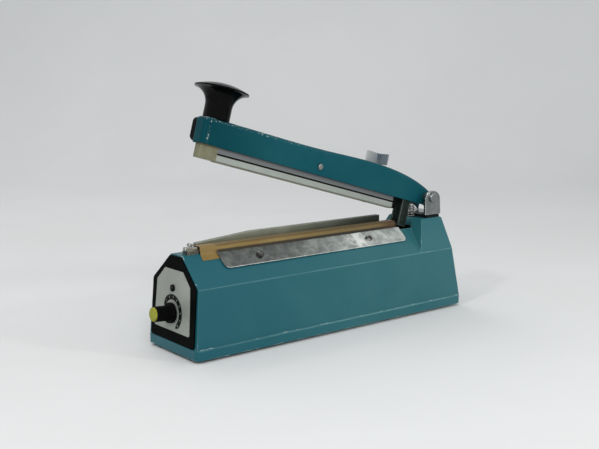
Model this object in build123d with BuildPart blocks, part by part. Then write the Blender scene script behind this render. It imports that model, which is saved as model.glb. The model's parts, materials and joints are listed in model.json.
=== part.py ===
# Hand impulse bag sealer with a cutter on its arm, modelled open, in millimetres.
# The origin is at table level, in the middle of the length from the knob to the rear.
# The front, with the timer knob, faces -X, the cutter side faces +Y and +Z is up.
import os
from math import atan2, cos, pi, radians, sin, sqrt, tan

from build123d import *

# Base housing
base_length = 320.0
base_width = 80.0
foot_height = 2.5
plinth_height = 8.6
plinth_corner = 5.0
plinth_edge = 1.0
ledge = 1.5
housing_wall = 2.0
lower_rise = 49.9
lower_draw_in = 2.1
front_lean = 4.6
rear_draw_in = 10.5
slope_rise = 23.8
top_half_width = 9.0
shoulder_round = 2.5
slope_edge_round = 1.2
pick_band = 1.0

# Rear tower that carries the hinge
tower_rise = 31.0
tower_half_width = 23.0
tower_foot_length = 45.0
tower_top_length = 31.0
tower_rear_draw_in = 3.0
tower_round = 2.0

# Bottom plate, its posts and screws, and the feet
plate_thickness = 1.2
plate_gap = 0.3
post_length = 9.0
post_depth = 10.0
post_height = 14.0
post_from_end = 24.0
foot_radius = 7.0
foot_stud_radius = 2.0
foot_from_end = 40.0
foot_from_side = 14.0
foot_stud_height = 2.4

# Screws: small pan heads and their shanks
head_radius = 2.9
head_height = 2.0
shank_radius = 1.5
recess_length = 3.6
recess_width = 0.8
recess_depth = 0.9
thread_gap = 0.05
hole_gap = 0.2

# Front panel, dial plate, lamp and timer
panel_thickness = 1.6
panel_foot_gap = 0.2
panel_bottom_margin = 4.0
panel_shoulder_margin = 2.4
panel_side_margin = 0.6
panel_top_margin = 1.0
panel_corner = 3.0
dial_thickness = 0.6
dial_bottom = 9.5
dial_bottom_margin = 6.3
dial_shoulder_margin = 7.8
dial_half_top = 14.2
dial_upper_rise = 11.5
dial_corner = 2.0
lamp_height = 46.0
lamp_radius = 2.0
lamp_show = 2.6
lamp_flange_radius = 2.8
lamp_flange = 1.0
bezel_wall = 0.8
bezel_height = 1.2
knob_height = 24.8
pot_radius = 8.0
pot_depth = 8.0
bush_radius = 3.8
bush_show = 2.6
nut_across = 10.0
nut_height = 2.0
shaft_radius = 3.0
shaft_gap = 0.04
knob_lift = 0.6
skirt_radius = 8.8
skirt_height = 3.4
grip_radius = 6.5
knob_length = 16.6
flute_count = 16
flute_radius = 0.5
pocket_gap = 0.6
shaft_in_knob = 8.0
cap_radius = 5.9
cap_height = 1.4
cap_round = 0.5

# Timer board behind the panel
board_width = 56.0
board_height = 36.0
board_thickness = 1.6
relay_size = (19.0, 15.0, 15.0)
relay_place = (-14.0, -6.0)
capacitor_radius = 5.0
capacitor_height = 16.0
capacitor_place = (10.0, 6.0)
connector_size = (20.0, 8.0, 10.0)
connector_place = (14.0, -11.0)

# Transformer on the bottom plate
core_from_middle = 10.0
core_length = 54.0
core_stack = 30.0
core_height = 45.0
core_leg = 18.0
window_height = 27.0
coil_width = 46.0
coil_gap = 0.2
strap_thickness = 1.2
strap_foot = 10.0
strap_width = 14.0

# Sealing line on top of the base, off the middle to leave room for the cutter
seal_y = -4.5
bed_half_width = 4.4
bed_height = 5.3
bed_front_gap = 27.0
bed_rear_gap = 78.0
bed_edge_round = 0.8
element_width = 3.0
element_thickness = 0.3
element_tab_width = 6.4
element_tab_length = 10.0
cloth_thickness = 0.4
cloth_gap = 0.05
cloth_front_gap = 24.0
cloth_rear_gap = 67.0
cloth_under_clamp = 5.5
cloth_under_rail = 3.5
terminal_length = 10.0
terminal_half_width = 4.4
terminal_base = 3.2
terminal_boss_radius = 3.6
terminal_boss_depth = 6.0
terminal_screw_length = 9.0
front_terminal_gap = 13.0
rear_terminal_gap = 0.8
sink_head_radius = 2.8
sink_depth = 1.3

# Clamp plate on the near slope
clamp_front_gap = 40.4
clamp_rear_gap = 64.6
clamp_drop = 2.0
clamp_width = 17.6
clamp_thickness = 1.2
clamp_corner = 5.0
clamp_screw_spacing = 129.0
clamp_screw_forward = 3.5
clamp_screw_drop = 9.0
clamp_head_radius = 3.4

# Cutter guide rail on the far slope
rail_front_gap = 30.0
rail_rear_gap = 75.0
rail_wall = 1.6
slot_width = 1.8
rail_top_rise = 11.2
rail_ramp_length = 58.0
rail_ramp_drop = 4.6
slot_depth = 9.6
rail_foot_reach = 12.0
rail_foot_thickness = 2.0
rail_screw_spacing = 150.0

# Hinge bracket, pin and pad
pivot_from_rear = 26.6
pivot_rise = 19.9
pad_thickness = 3.0
bracket_thickness = 2.3
bracket_front_reach = 8.5
bracket_rear_reach = 9.5
ear_half_width = 10.4
ear_rise = 7.0
ear_rear_foot = 11.5
ear_half_span = 19.7
spacer_gap = 0.3
spacer_wall = 1.4
pin_radius = 3.0
pin_fit = 0.04
pin_head_radius = 5.0
pin_head_height = 2.4
pin_tail = 3.0
clip_radius = 4.6
clip_thickness = 1.2
bracket_screw_half = 16.0
bracket_screw_length = 9.0

# Sealing arm, drawn in its own plane with u to the front and v up from the pin
open_angle = 15.5
arm_front_gap = 18.0
arm_half_width = 7.5
arm_wall = 1.5
arm_bottom = 8.5
arm_front_bottom = 7.5
arm_front_top = 15.0
arm_waist_reach = 192.0
arm_waist_top = 15.2
arm_peak_reach = 100.0
arm_peak_top = 18.0
arm_hip_reach = 12.0
arm_hip_top = 12.0
arm_rear_top = 5.5
arm_rear_reach = 7.5
arm_rear_rise = 24.0
heel_gap = 0.35
arm_nose_round = 3.0
sleeve_wall = 1.4
sleeve_gap = 0.2
seat_top = 6.5
seat_thickness = 1.5
seat_rear = 8.5
seat_front = 18.5

# Return spring under the arm
spring_reach = 12.6
spring_radius = 3.0
spring_wire = 1.1
spring_turns = 11
spring_seat_gap = 0.1
spring_top_gap = 0.35

# Mushroom handle
handle_set_back = 16.6
neck_radius = 11.6
disc_radius = 23.4
handle_height = 30.9
lip_height = 1.2
dome_height = 5.0
neck_straight = 11.0
handle_screw_radius = 1.6
handle_screw_depth = 14.0
handle_head_radius = 2.6
handle_head_height = 3.0
handle_bore_gap = 0.5
handle_out = 3.3

# Press bar, silicone strip and end blocks
bar_rear = 41.5
bar_pin_from_front = 110.2
bar_front_gap = 2.6
bar_half_width = 4.3
bar_height = 12.4
bar_groove_height = 1.8
bar_groove_depth = 2.0
bar_groove_up = 5.0
strip_half_width = 3.0
strip_height = 2.6
strip_show = 1.1
seal_gap = 0.85
tongue_half_length = 16.0
tongue_half_width = 2.6
tongue_top = 5.0
bar_pin_radius = 2.5
bar_pin_fit = 0.05
bar_pin_head_radius = 2.8
bar_pin_head = 1.6
front_block_length = 17.4
rear_block_length = 5.0
block_drop = 0.4
block_height = 13.2

# Striker that works the switch
striker_reach = 19.0
striker_length = 10.0
striker_top = 6.0
striker_wall = 1.5
striker_drop = 34.5
striker_rear_gap = 1.0
striker_gap = 0.3
slot_front_gap = 2.6
slot_side_gap = 1.5
slot_floor_gap = 7.0

# Cutter rail on the far side of the arm
cutter_rail_width = 9.0
cutter_rail_rear = 32.0
cutter_rail_set_back = 3.0
cutter_rail_top = 14.6
cutter_rail_bottom = 5.5
cutter_slot = 1.8
cutter_screw_up = 2.0
cutter_screw_inset = 7.0
cutter_rail_round = 4.0

# Cutter carriage, thumb tab and blade
carriage_rear = 55.9
carriage_length = 18.0
carriage_stop_gap = 1.5
carriage_lift = 0.3
carriage_side_gap = 0.35
carriage_height = 5.2
tongue_thickness = 1.0
tongue_inset = 2.0
keeper_thickness = 1.6
keeper_half_width = 1.9
tab_thickness = 1.2
tab_height = 10.7
tab_cross = 12.6
tab_root = 3.0
blade_thickness = 0.5
blade_length = 12.0
blade_drop = 20.0
blade_overlap = 7.0
blade_shoulder = 15.4
blade_tip = 2.0
rivet_radius = 0.9
rivet_head_radius = 1.2
rivet_head = 0.35
rivet_spacing = 6.0

# Micro switch under the striker
switch_length = 27.8
switch_width = 10.3
switch_height = 15.9
button_radius = 1.9
button_show = 2.2
button_depth = 6.0
button_gap = 0.1
button_under_gap = 1.6
switch_bracket_thickness = 1.5
switch_foot = 14.0
switch_screw_spacing = 22.2
switch_screw_up = 4.0

# Cord gland in the rear wall
gland_height = 13.0
gland_flange_radius = 7.0
gland_flange = 2.0
gland_neck_radius = 5.0
gland_bore_radius = 3.4
gland_gap = 0.05

# Levels and faces worked out from the sizes above
under_z = foot_height
plate_top = under_z + plate_thickness
ledge_z = under_z + plinth_height
shoulder_z = ledge_z + lower_rise
top_z = shoulder_z + slope_rise
tower_z = shoulder_z + tower_rise
lean_back = radians(front_lean)
dial_face = panel_thickness + dial_thickness
cap_face = dial_face + knob_lift + knob_length + cap_height
cap_reach = (cap_face - cap_round) * cos(lean_back) + (cap_radius - cap_round) * sin(lean_back) + cap_round
knob_overhang = cap_reach - knob_height * sin(lean_back) - ledge
middle_x = knob_overhang / 2
core_x = middle_x + core_from_middle
front_x = middle_x - base_length / 2
rear_x = middle_x + base_length / 2
ledge_half = base_width / 2 - ledge
shoulder_half = ledge_half - lower_draw_in
front_slant = tan(lean_back)
housing_front = front_x + ledge
housing_rear = rear_x - ledge
shoulder_rear = housing_rear - rear_draw_in
cavity_half = ledge_half - housing_wall
top_front = housing_front + (top_z - ledge_z) * front_slant


# Planes that the pieces are drawn on
slope_fall = atan2(slope_rise, shoulder_half - top_half_width)
front_plane = Plane(
    origin=(housing_front, 0, ledge_z),
    x_dir=(0, -1, 0),
    z_dir=(-cos(lean_back), 0, sin(lean_back)),
)
rear_slant = atan2(rear_draw_in, lower_rise)
rear_plane = Plane(
    origin=(housing_rear, 0, ledge_z),
    x_dir=(0, 1, 0),
    z_dir=(cos(rear_slant), 0, sin(rear_slant)),
)
near_slope = Plane(
    origin=(0, -top_half_width, top_z),
    x_dir=(1, 0, 0),
    z_dir=(0, -sin(slope_fall), cos(slope_fall)),
)
far_slope = Plane(
    origin=(0, top_half_width, top_z),
    x_dir=(-1, 0, 0),
    z_dir=(0, sin(slope_fall), cos(slope_fall)),
)
pivot_x = rear_x - pivot_from_rear
pivot_z = tower_z + pivot_rise
lean = radians(open_angle)
arm_length = base_length - pivot_from_rear - arm_front_gap
handle_reach = arm_length - handle_set_back
bar_front = arm_length - bar_front_gap - front_block_length
bar_reach = bar_front - bar_pin_from_front
carriage_front = carriage_rear + carriage_length
carriage_travel = handle_reach - disc_radius - carriage_stop_gap - carriage_front
arm_plane = Plane(
    origin=(pivot_x, seal_y, pivot_z),
    x_dir=(-cos(lean), 0, sin(lean)),
    z_dir=(0, 1, 0),
)
bottom = (Align.CENTER, Align.CENTER, Align.MIN)
hanging = (Align.CENTER, Align.CENTER, Align.MAX)


def spot(plane, x=0.0, y=0.0, z=0.0):
    return plane.location * Location((x, y, z))


def block(plane, x_span, y_span, z_span, mode=Mode.ADD):
    middle = [(low + high) / 2 for low, high in (x_span, y_span, z_span)]
    sizes = [high - low for low, high in (x_span, y_span, z_span)]
    with Locations(spot(plane, *middle)):
        Box(*sizes, mode=mode)


def rod(place, radius, height, mode=Mode.ADD, align=bottom):
    with Locations(place):
        Cylinder(radius, height, align=align, mode=mode)


def pan_screw(place, length, head=head_radius):
    rod(place, head, head_height)
    rod(place, shank_radius, length, align=hanging)
    with Locations(place * Location((0, 0, head_height))):
        Box(recess_length, recess_width, recess_depth, align=hanging, mode=Mode.SUBTRACT)
        Box(recess_width, recess_length, recess_depth, align=hanging, mode=Mode.SUBTRACT)


def drill(place, depth, gap):
    rod(place, shank_radius + gap, depth, mode=Mode.SUBTRACT, align=hanging)


def housing_section():
    Polyline(
        (-ledge_half, ledge_z),
        (-shoulder_half, shoulder_z),
        (-top_half_width, top_z),
        (top_half_width, top_z),
        (shoulder_half, shoulder_z),
        (ledge_half, ledge_z),
        close=True,
    )


def housing_side():
    Polyline(
        (housing_front, ledge_z),
        (top_front, top_z),
        (shoulder_rear, top_z),
        (shoulder_rear, shoulder_z),
        (housing_rear, ledge_z),
        close=True,
    )


def tower_section():
    Polyline(
        (-shoulder_half, shoulder_z),
        (-tower_half_width, tower_z),
        (tower_half_width, tower_z),
        (shoulder_half, shoulder_z),
        close=True,
    )


def tower_side():
    Polyline(
        (shoulder_rear - tower_foot_length, shoulder_z),
        (shoulder_rear - tower_top_length, tower_z),
        (shoulder_rear - tower_rear_draw_in, tower_z),
        (shoulder_rear, shoulder_z),
        close=True,
    )


parts_folder = "parts"
os.makedirs(parts_folder, exist_ok=True)


def save(builder, name):
    builder.part.label = name
    export_step(builder.part, f"{parts_folder}/{name}.step")


# Outer form of the housing's body, before it is hollowed
with BuildPart() as body_form:
    with BuildSketch(Plane.YZ.offset(front_x)):
        with BuildLine():
            housing_section()
        make_face()
    extrude(amount=base_length)
    with BuildSketch(Plane.XZ):
        with BuildLine():
            housing_side()
        make_face()
    extrude(amount=base_width, both=True, mode=Mode.INTERSECT)
    for level, round_off in ((shoulder_z, shoulder_round), (top_z, slope_edge_round)):
        long_edges = body_form.edges().filter_by(Axis.X)
        fillet(long_edges.filter_by_position(Axis.Z, level - pick_band, level + pick_band), round_off)

# Outer form of the tower
with BuildPart() as tower_form:
    with BuildSketch(Plane.YZ.offset(front_x)):
        with BuildLine():
            tower_section()
        make_face()
    extrude(amount=base_length)
    with BuildSketch(Plane.XZ):
        with BuildLine():
            tower_side()
        make_face()
    extrude(amount=base_width, both=True, mode=Mode.INTERSECT)
    fillet(tower_form.faces().sort_by(Axis.Z)[-1].edges(), tower_round)

# Hollow of the body and of the tower, one wall in from the outside
with BuildPart() as body_hollow:
    with BuildSketch(Plane.YZ.offset(front_x)):
        with BuildLine():
            housing_section()
        make_face()
        offset(amount=-housing_wall, kind=Kind.INTERSECTION)
    extrude(amount=base_length)
    with BuildSketch(Plane.XZ):
        with BuildLine():
            housing_side()
        make_face()
        offset(amount=-housing_wall, kind=Kind.INTERSECTION)
    extrude(amount=base_width, both=True, mode=Mode.INTERSECT)
    block(
        Plane.XY,
        (housing_front + housing_wall, housing_rear - housing_wall),
        (-cavity_half, cavity_half),
        (under_z, ledge_z + housing_wall),
    )

with BuildPart() as tower_hollow:
    with BuildSketch(Plane.YZ.offset(front_x)):
        with BuildLine():
            tower_section()
        make_face()
        offset(amount=-housing_wall, kind=Kind.INTERSECTION)
    extrude(amount=base_length)
    with BuildSketch(Plane.XZ):
        with BuildLine():
            tower_side()
        make_face()
        offset(amount=-housing_wall, kind=Kind.INTERSECTION)
    extrude(amount=base_width, both=True, mode=Mode.INTERSECT)

# Places that several pieces share
post_spots = [
    (middle_x + side_x * (base_length / 2 - post_from_end), side_y * (cavity_half - post_depth / 2))
    for side_x in (-1, 1)
    for side_y in (-1, 1)
]
foot_spots = [
    (middle_x + side_x * (base_length / 2 - foot_from_end), side_y * (base_width / 2 - foot_from_side))
    for side_x in (-1, 1)
    for side_y in (-1, 1)
]
knob_spot = spot(front_plane, 0, knob_height)
lamp_spot = spot(front_plane, 0, lamp_height)
gland_spot = spot(rear_plane, 0, gland_height)
clamp_length = base_length - clamp_front_gap - clamp_rear_gap
clamp_middle = front_x + clamp_front_gap + clamp_length / 2
clamp_screw_middle = clamp_middle - clamp_screw_forward
clamp_spots = [
    spot(near_slope, clamp_screw_middle + side * clamp_screw_spacing / 2, -clamp_drop - clamp_screw_drop)
    for side in (-1, 1)
]
rail_length = base_length - rail_front_gap - rail_rear_gap
rail_middle = front_x + rail_front_gap + rail_length / 2
blade_out = arm_half_width + cutter_rail_width / 2
blade_y = seal_y + blade_out
rail_inner = blade_y - slot_width / 2 - rail_wall
rail_outer = blade_y + slot_width / 2 + rail_wall
slope_ratio = tan(slope_fall)


def slope_z(y):
    return top_z - (y - top_half_width) * slope_ratio


foot_drop = (rail_outer + rail_foot_reach / 2 - top_half_width) / cos(slope_fall)
rail_spots = [
    spot(far_slope, -rail_middle - side * rail_screw_spacing / 2, -foot_drop)
    for side in (-1, 1)
]
bracket_spots = [(pivot_x, side * bracket_screw_half) for side in (-1, 1)]
pad_top = tower_z + pad_thickness
bracket_floor = pad_top + bracket_thickness
striker_front = striker_reach + striker_length
slot_rear = pivot_x - striker_reach + striker_rear_gap
slot_front = pivot_x - striker_front * cos(lean) - striker_drop * sin(lean) - slot_front_gap
arm_inner = arm_half_width - arm_wall
slot_half = arm_inner + slot_side_gap
striker_low = pivot_z - striker_drop
cloth_lift = cloth_thickness + 2 * cloth_gap
seal_z = top_z + bed_height + element_thickness + cloth_gap + cloth_thickness
strip_bottom = seal_z + seal_gap - pivot_z
bar_bottom = strip_bottom + strip_show
bar_top = bar_bottom + bar_height
button_top = striker_low - striker_gap
switch_top = button_top - button_show
switch_x = pivot_x - striker_reach - striker_length / 2
bed_front = front_x + bed_front_gap
bed_rear = rear_x - bed_rear_gap
bed_top = top_z + bed_height
front_terminal_x = front_x + front_terminal_gap + terminal_length / 2
rear_terminal_x = bed_rear + rear_terminal_gap + terminal_length / 2
terminal_top = top_z + terminal_base

# Base housing: plinth, body and tower in one shell, open below
with BuildPart() as base_housing:
    with BuildSketch(Plane.XY.offset(under_z)):
        with Locations((middle_x, 0)):
            RectangleRounded(base_length, base_width, plinth_corner)
    extrude(amount=plinth_height)
    fillet(base_housing.faces().sort_by(Axis.Z)[-1].edges(), plinth_edge)
    add(body_form.part)
    add(tower_form.part)
    add(body_hollow.part, mode=Mode.SUBTRACT)
    add(tower_hollow.part, mode=Mode.SUBTRACT)
    for x, y in post_spots:
        side = 1 if y > 0 else -1
        wall_y = sorted((y - side * post_depth / 2, side * (cavity_half + housing_wall / 2)))
        block(
            Plane.XY,
            (x - post_length / 2, x + post_length / 2),
            wall_y,
            (plate_top, plate_top + post_height),
        )
        rod(Location((x, y, plate_top)), shank_radius + thread_gap, post_height, mode=Mode.SUBTRACT)
    block(
        Plane.XY,
        (slot_front, slot_rear),
        (seal_y - slot_half, seal_y + slot_half),
        (striker_low - slot_floor_gap, tower_z + pivot_rise),
        mode=Mode.SUBTRACT,
    )
    rod(knob_spot, bush_radius + hole_gap, 2 * housing_wall, mode=Mode.SUBTRACT, align=hanging)
    rod(lamp_spot, lamp_radius + hole_gap, 2 * housing_wall, mode=Mode.SUBTRACT, align=hanging)
    rod(gland_spot, gland_neck_radius + gland_gap, 2 * housing_wall, mode=Mode.SUBTRACT, align=hanging)
    for place in clamp_spots + rail_spots:
        drill(place, 3 * housing_wall, thread_gap)
    for x, y in bracket_spots:
        drill(Location((x, y, tower_z)), 2 * housing_wall, thread_gap)
    for x in (front_terminal_x, rear_terminal_x):
        boss_hole = terminal_boss_radius + hole_gap
        rod(Location((x, seal_y, top_z)), boss_hole, 2 * housing_wall, mode=Mode.SUBTRACT, align=hanging)
save(base_housing, "base_housing")

# Bottom plate, held by four screws into the housing's posts
with BuildPart() as bottom_plate:
    block(
        Plane.XY,
        (housing_front + housing_wall + plate_gap, housing_rear - housing_wall - plate_gap),
        (-cavity_half + plate_gap, cavity_half - plate_gap),
        (under_z, plate_top),
    )
    for x, y in post_spots:
        drill(Location((x, y, plate_top)), plate_thickness, hole_gap)
    for x, y in foot_spots:
        rod(Location((x, y, under_z)), foot_stud_radius + thread_gap, plate_thickness, mode=Mode.SUBTRACT)
    strap_reach = core_length / 2 + coil_gap + strap_thickness + strap_foot / 2
    for side in (-1, 1):
        drill(Location((core_x + side * strap_reach, 0, plate_top)), plate_thickness, thread_gap)
        foot_x = switch_x + side * switch_screw_spacing / 2
        foot_y = seal_y + switch_width / 2 + switch_foot / 2 + switch_bracket_thickness / 2
        drill(Location((foot_x, foot_y, plate_top)), plate_thickness, thread_gap)
save(bottom_plate, "bottom_plate")

with BuildPart() as bottom_plate_screws:
    for x, y in post_spots:
        under = Location((x, y, under_z), (180, 0, 0))
        pan_screw(under, post_height)
save(bottom_plate_screws, "bottom_plate_screws")

with BuildPart() as rubber_feet:
    for x, y in foot_spots:
        rod(Location((x, y, 0)), foot_radius, foot_height)
        rod(Location((x, y, foot_height)), foot_stud_radius, foot_stud_height)
save(rubber_feet, "rubber_feet")

# Front panel and dial plate, flat on the leaning front wall
lower_slant = lower_rise / cos(lean_back)
upper_slant = slope_rise / cos(lean_back)
panel_half_bottom = ledge_half - panel_bottom_margin
panel_half_shoulder = shoulder_half - panel_shoulder_margin
dial_half_bottom = panel_half_bottom - dial_bottom_margin
dial_half_shoulder = panel_half_shoulder - dial_shoulder_margin


def shield(low, mid, high, half_low, half_mid, half_high):
    Polyline(
        (-half_low, low),
        (-half_mid, mid),
        (-half_high, high),
        (half_high, high),
        (half_mid, mid),
        (half_low, low),
        close=True,
    )


with BuildPart() as front_panel:
    with BuildSketch(front_plane) as panel_sketch:
        with BuildLine():
            shield(
                panel_foot_gap,
                lower_slant,
                lower_slant + upper_slant - panel_top_margin,
                panel_half_bottom,
                panel_half_shoulder,
                top_half_width - panel_side_margin,
            )
        make_face()
        fillet(panel_sketch.vertices(), panel_corner)
        with Locations((0, knob_height)):
            Circle(bush_radius + hole_gap, mode=Mode.SUBTRACT)
        with Locations((0, lamp_height)):
            Circle(lamp_radius + hole_gap, mode=Mode.SUBTRACT)
    extrude(amount=panel_thickness)
save(front_panel, "front_panel")

with BuildPart() as dial_plate:
    with BuildSketch(front_plane.offset(panel_thickness)) as dial_sketch:
        with BuildLine():
            shield(
                dial_bottom,
                lower_slant,
                lower_slant + dial_upper_rise,
                dial_half_bottom,
                dial_half_shoulder,
                dial_half_top,
            )
        make_face()
        fillet(dial_sketch.vertices(), dial_corner)
        with Locations((0, knob_height)):
            Circle(bush_radius + hole_gap, mode=Mode.SUBTRACT)
        with Locations((0, lamp_height)):
            Circle(lamp_radius + hole_gap, mode=Mode.SUBTRACT)
    extrude(amount=dial_thickness)
save(dial_plate, "dial_plate")

# Indicator lamp, seated inside the front wall, and its bezel on the dial plate
with BuildPart() as indicator_lamp:
    lamp_back = lamp_spot * Location((0, 0, -housing_wall))
    rod(lamp_back, lamp_flange_radius, lamp_flange, align=hanging)
    rod(lamp_back, lamp_radius, housing_wall + dial_face + lamp_show)
    tip = indicator_lamp.faces().sort_by(Axis.X)[0]
    fillet(tip.edges(), lamp_radius - hole_gap)
save(indicator_lamp, "indicator_lamp")

with BuildPart() as lamp_bezel:
    with BuildSketch(Plane(lamp_spot).offset(dial_face)):
        Circle(lamp_radius + hole_gap + bezel_wall)
        Circle(lamp_radius + thread_gap, mode=Mode.SUBTRACT)
    extrude(amount=bezel_height)
save(lamp_bezel, "lamp_bezel")

# Timer: potentiometer, nut, shaft, knob and cap on one axis
knob_plane = Plane(knob_spot)
bush_end = dial_face + bush_show
knob_back = dial_face + knob_lift
pocket_depth = bush_end - knob_back + pocket_gap
nut_corner = nut_across / 2 / cos(pi / 6)

with BuildPart() as timer_potentiometer:
    with BuildSketch(knob_plane.offset(-housing_wall)):
        Circle(pot_radius)
    extrude(amount=-pot_depth)
    with BuildSketch(knob_plane.offset(-housing_wall)):
        Circle(bush_radius)
    extrude(amount=housing_wall + bush_end)
    with BuildSketch(knob_plane.offset(bush_end)):
        Circle(shaft_radius + shaft_gap)
    extrude(amount=-(housing_wall + bush_end), mode=Mode.SUBTRACT)
save(timer_potentiometer, "timer_potentiometer")

with BuildPart() as potentiometer_nut:
    with BuildSketch(knob_plane.offset(dial_face)):
        RegularPolygon(nut_across / 2, 6, major_radius=False)
        Circle(bush_radius + thread_gap, mode=Mode.SUBTRACT)
    extrude(amount=nut_height)
save(potentiometer_nut, "potentiometer_nut")

with BuildPart() as timer_shaft:
    shaft_back = -housing_wall + hole_gap
    shaft_front = knob_back + pocket_depth + shaft_in_knob
    with BuildSketch(knob_plane.offset(shaft_back)):
        Circle(shaft_radius)
    extrude(amount=shaft_front - shaft_back)
save(timer_shaft, "timer_shaft")

with BuildPart() as timer_knob:
    with BuildSketch(knob_plane.offset(knob_back)):
        Circle(skirt_radius)
    extrude(amount=skirt_height)
    fillet(timer_knob.edges().sort_by(Axis.X)[0], pocket_gap)
    with BuildSketch(knob_plane.offset(knob_back)):
        Circle(grip_radius)
    extrude(amount=knob_length)
    with BuildSketch(knob_plane.offset(knob_back + skirt_height)):
        with PolarLocations(grip_radius, flute_count):
            Circle(flute_radius)
    extrude(amount=knob_length, mode=Mode.SUBTRACT)
    with BuildSketch(knob_plane.offset(knob_back)):
        Circle(nut_corner + pocket_gap)
    extrude(amount=pocket_depth, mode=Mode.SUBTRACT)
    with BuildSketch(knob_plane.offset(knob_back)):
        Circle(shaft_radius)
    extrude(amount=pocket_depth + shaft_in_knob, mode=Mode.SUBTRACT)
save(timer_knob, "timer_knob")

with BuildPart() as knob_cap:
    with BuildSketch(knob_plane.offset(knob_back + knob_length)):
        Circle(cap_radius)
    extrude(amount=cap_height)
    fillet(knob_cap.edges().sort_by(Axis.X)[0], cap_round)
save(knob_cap, "knob_cap")

# Timer board on the back of the potentiometer, with its larger components
board_plane = knob_plane.offset(-housing_wall - pot_depth)
with BuildPart() as timer_board:
    with BuildSketch(board_plane):
        Rectangle(board_width, board_height)
    extrude(amount=-board_thickness)
save(timer_board, "timer_board")

with BuildPart() as board_components:
    board_back = board_plane.offset(-board_thickness)
    for place, size in ((relay_place, relay_size), (connector_place, connector_size)):
        with Locations(spot(board_back, *place)):
            Box(*size, align=hanging)
    rod(spot(board_back, *capacitor_place), capacitor_radius, capacitor_height, align=hanging)
save(board_components, "board_components")

# Transformer: core, coil and strap on the bottom plate
window_width = (core_length - 2 * core_leg) / 2
core_middle = Location((core_x, 0, plate_top + core_height / 2))
with BuildPart() as transformer_core:
    with Locations(core_middle):
        Box(core_length, core_stack, core_height)
    for side in (-1, 1):
        with Locations(core_middle * Location((side * (core_leg + window_width) / 2, 0, 0))):
            Box(window_width, core_stack, window_height, mode=Mode.SUBTRACT)
save(transformer_core, "transformer_core")

with BuildPart() as transformer_coil:
    with Locations(core_middle):
        Box(core_leg + 2 * (window_width - coil_gap), coil_width, window_height - 2 * coil_gap)
        Box(core_leg + coil_gap, core_stack + coil_gap, window_height, mode=Mode.SUBTRACT)
save(transformer_coil, "transformer_coil")

strap_inner = core_length / 2 + coil_gap
strap_top = plate_top + core_height
with BuildPart() as transformer_strap:
    strap_outer = strap_inner + strap_thickness
    strap_spans = [((-strap_outer, strap_outer), (strap_top, strap_top + strap_thickness))]
    for side in (-1, 1):
        leg = sorted((side * strap_inner, side * strap_outer))
        foot = sorted((side * strap_inner, side * (strap_outer + strap_foot)))
        strap_spans.append((leg, (plate_top, strap_top)))
        strap_spans.append((foot, (plate_top, plate_top + strap_thickness)))
    for x_span, z_span in strap_spans:
        across = (-strap_width / 2, strap_width / 2)
        block(Plane.XY, [core_x + x for x in x_span], across, z_span)
    for side in (-1, 1):
        hole = Location((core_x + side * strap_reach, 0, plate_top + strap_thickness))
        drill(hole, strap_thickness, hole_gap)
save(transformer_strap, "transformer_strap")

with BuildPart() as transformer_screws:
    for side in (-1, 1):
        seat = Location((core_x + side * strap_reach, 0, plate_top + strap_thickness))
        pan_screw(seat, strap_thickness + plate_thickness)
save(transformer_screws, "transformer_screws")

# Element bed, heating element and its two terminals
seal_plane = Plane.XY.move(Location((0, seal_y, 0)))
element_top = bed_top + element_thickness
with BuildPart() as element_bed:
    block(seal_plane, (bed_front, bed_rear), (-bed_half_width, bed_half_width), (top_z, bed_top))
    top_edges = element_bed.faces().sort_by(Axis.Z)[-1].edges().filter_by(Axis.X)
    fillet(top_edges, bed_edge_round)
save(element_bed, "element_bed")

terminal_xs = (front_terminal_x, rear_terminal_x)


def sink(place, gap, mode):
    with Locations(place):
        Cone(shank_radius + gap, sink_head_radius + gap, sink_depth, align=hanging, mode=mode)


with BuildPart() as heating_element:
    half_tab = element_tab_length / 2
    block(
        seal_plane,
        (front_terminal_x, rear_terminal_x),
        (-element_width / 2, element_width / 2),
        (bed_top, element_top),
    )
    for x in terminal_xs:
        tab_half = element_tab_width / 2
        block(seal_plane, (x - half_tab, x + half_tab), (-tab_half, tab_half), (bed_top, element_top))
    for x in terminal_xs:
        sink(Location((x, seal_y, element_top)), hole_gap, Mode.SUBTRACT)
save(heating_element, "heating_element")

with BuildPart() as terminal_blocks:
    for x in terminal_xs:
        block(
            seal_plane,
            (x - terminal_length / 2, x + terminal_length / 2),
            (-terminal_half_width, terminal_half_width),
            (top_z, terminal_top),
        )
        rod(Location((x, seal_y, top_z)), terminal_boss_radius, terminal_boss_depth, align=hanging)
        drill(Location((x, seal_y, terminal_top)), terminal_base + terminal_boss_depth, thread_gap)
save(terminal_blocks, "terminal_blocks")

with BuildPart() as terminal_clips:
    clip_half = element_tab_width / 2
    for x in terminal_xs:
        block(seal_plane, (x - half_tab, x + half_tab), (-clip_half, clip_half), (terminal_top, bed_top))
        drill(Location((x, seal_y, bed_top)), bed_height, hole_gap)
        sink(Location((x, seal_y, element_top)), hole_gap, Mode.SUBTRACT)
save(terminal_clips, "terminal_clips")

with BuildPart() as terminal_screws:
    for x in terminal_xs:
        head = Location((x, seal_y, element_top))
        sink(head, 0, Mode.ADD)
        rod(head, shank_radius, terminal_screw_length, align=hanging)
        with Locations(head):
            Box(recess_length, recess_width, recess_depth, align=hanging, mode=Mode.SUBTRACT)
save(terminal_screws, "terminal_screws")

# Cloth over the element, from under the clamp plate to under the guide rail
def on_near_slope(distance):
    y = top_half_width + distance * cos(slope_fall) + cloth_gap * sin(slope_fall)
    z = top_z - distance * sin(slope_fall) + cloth_gap * cos(slope_fall)
    return (-y, z)


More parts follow.
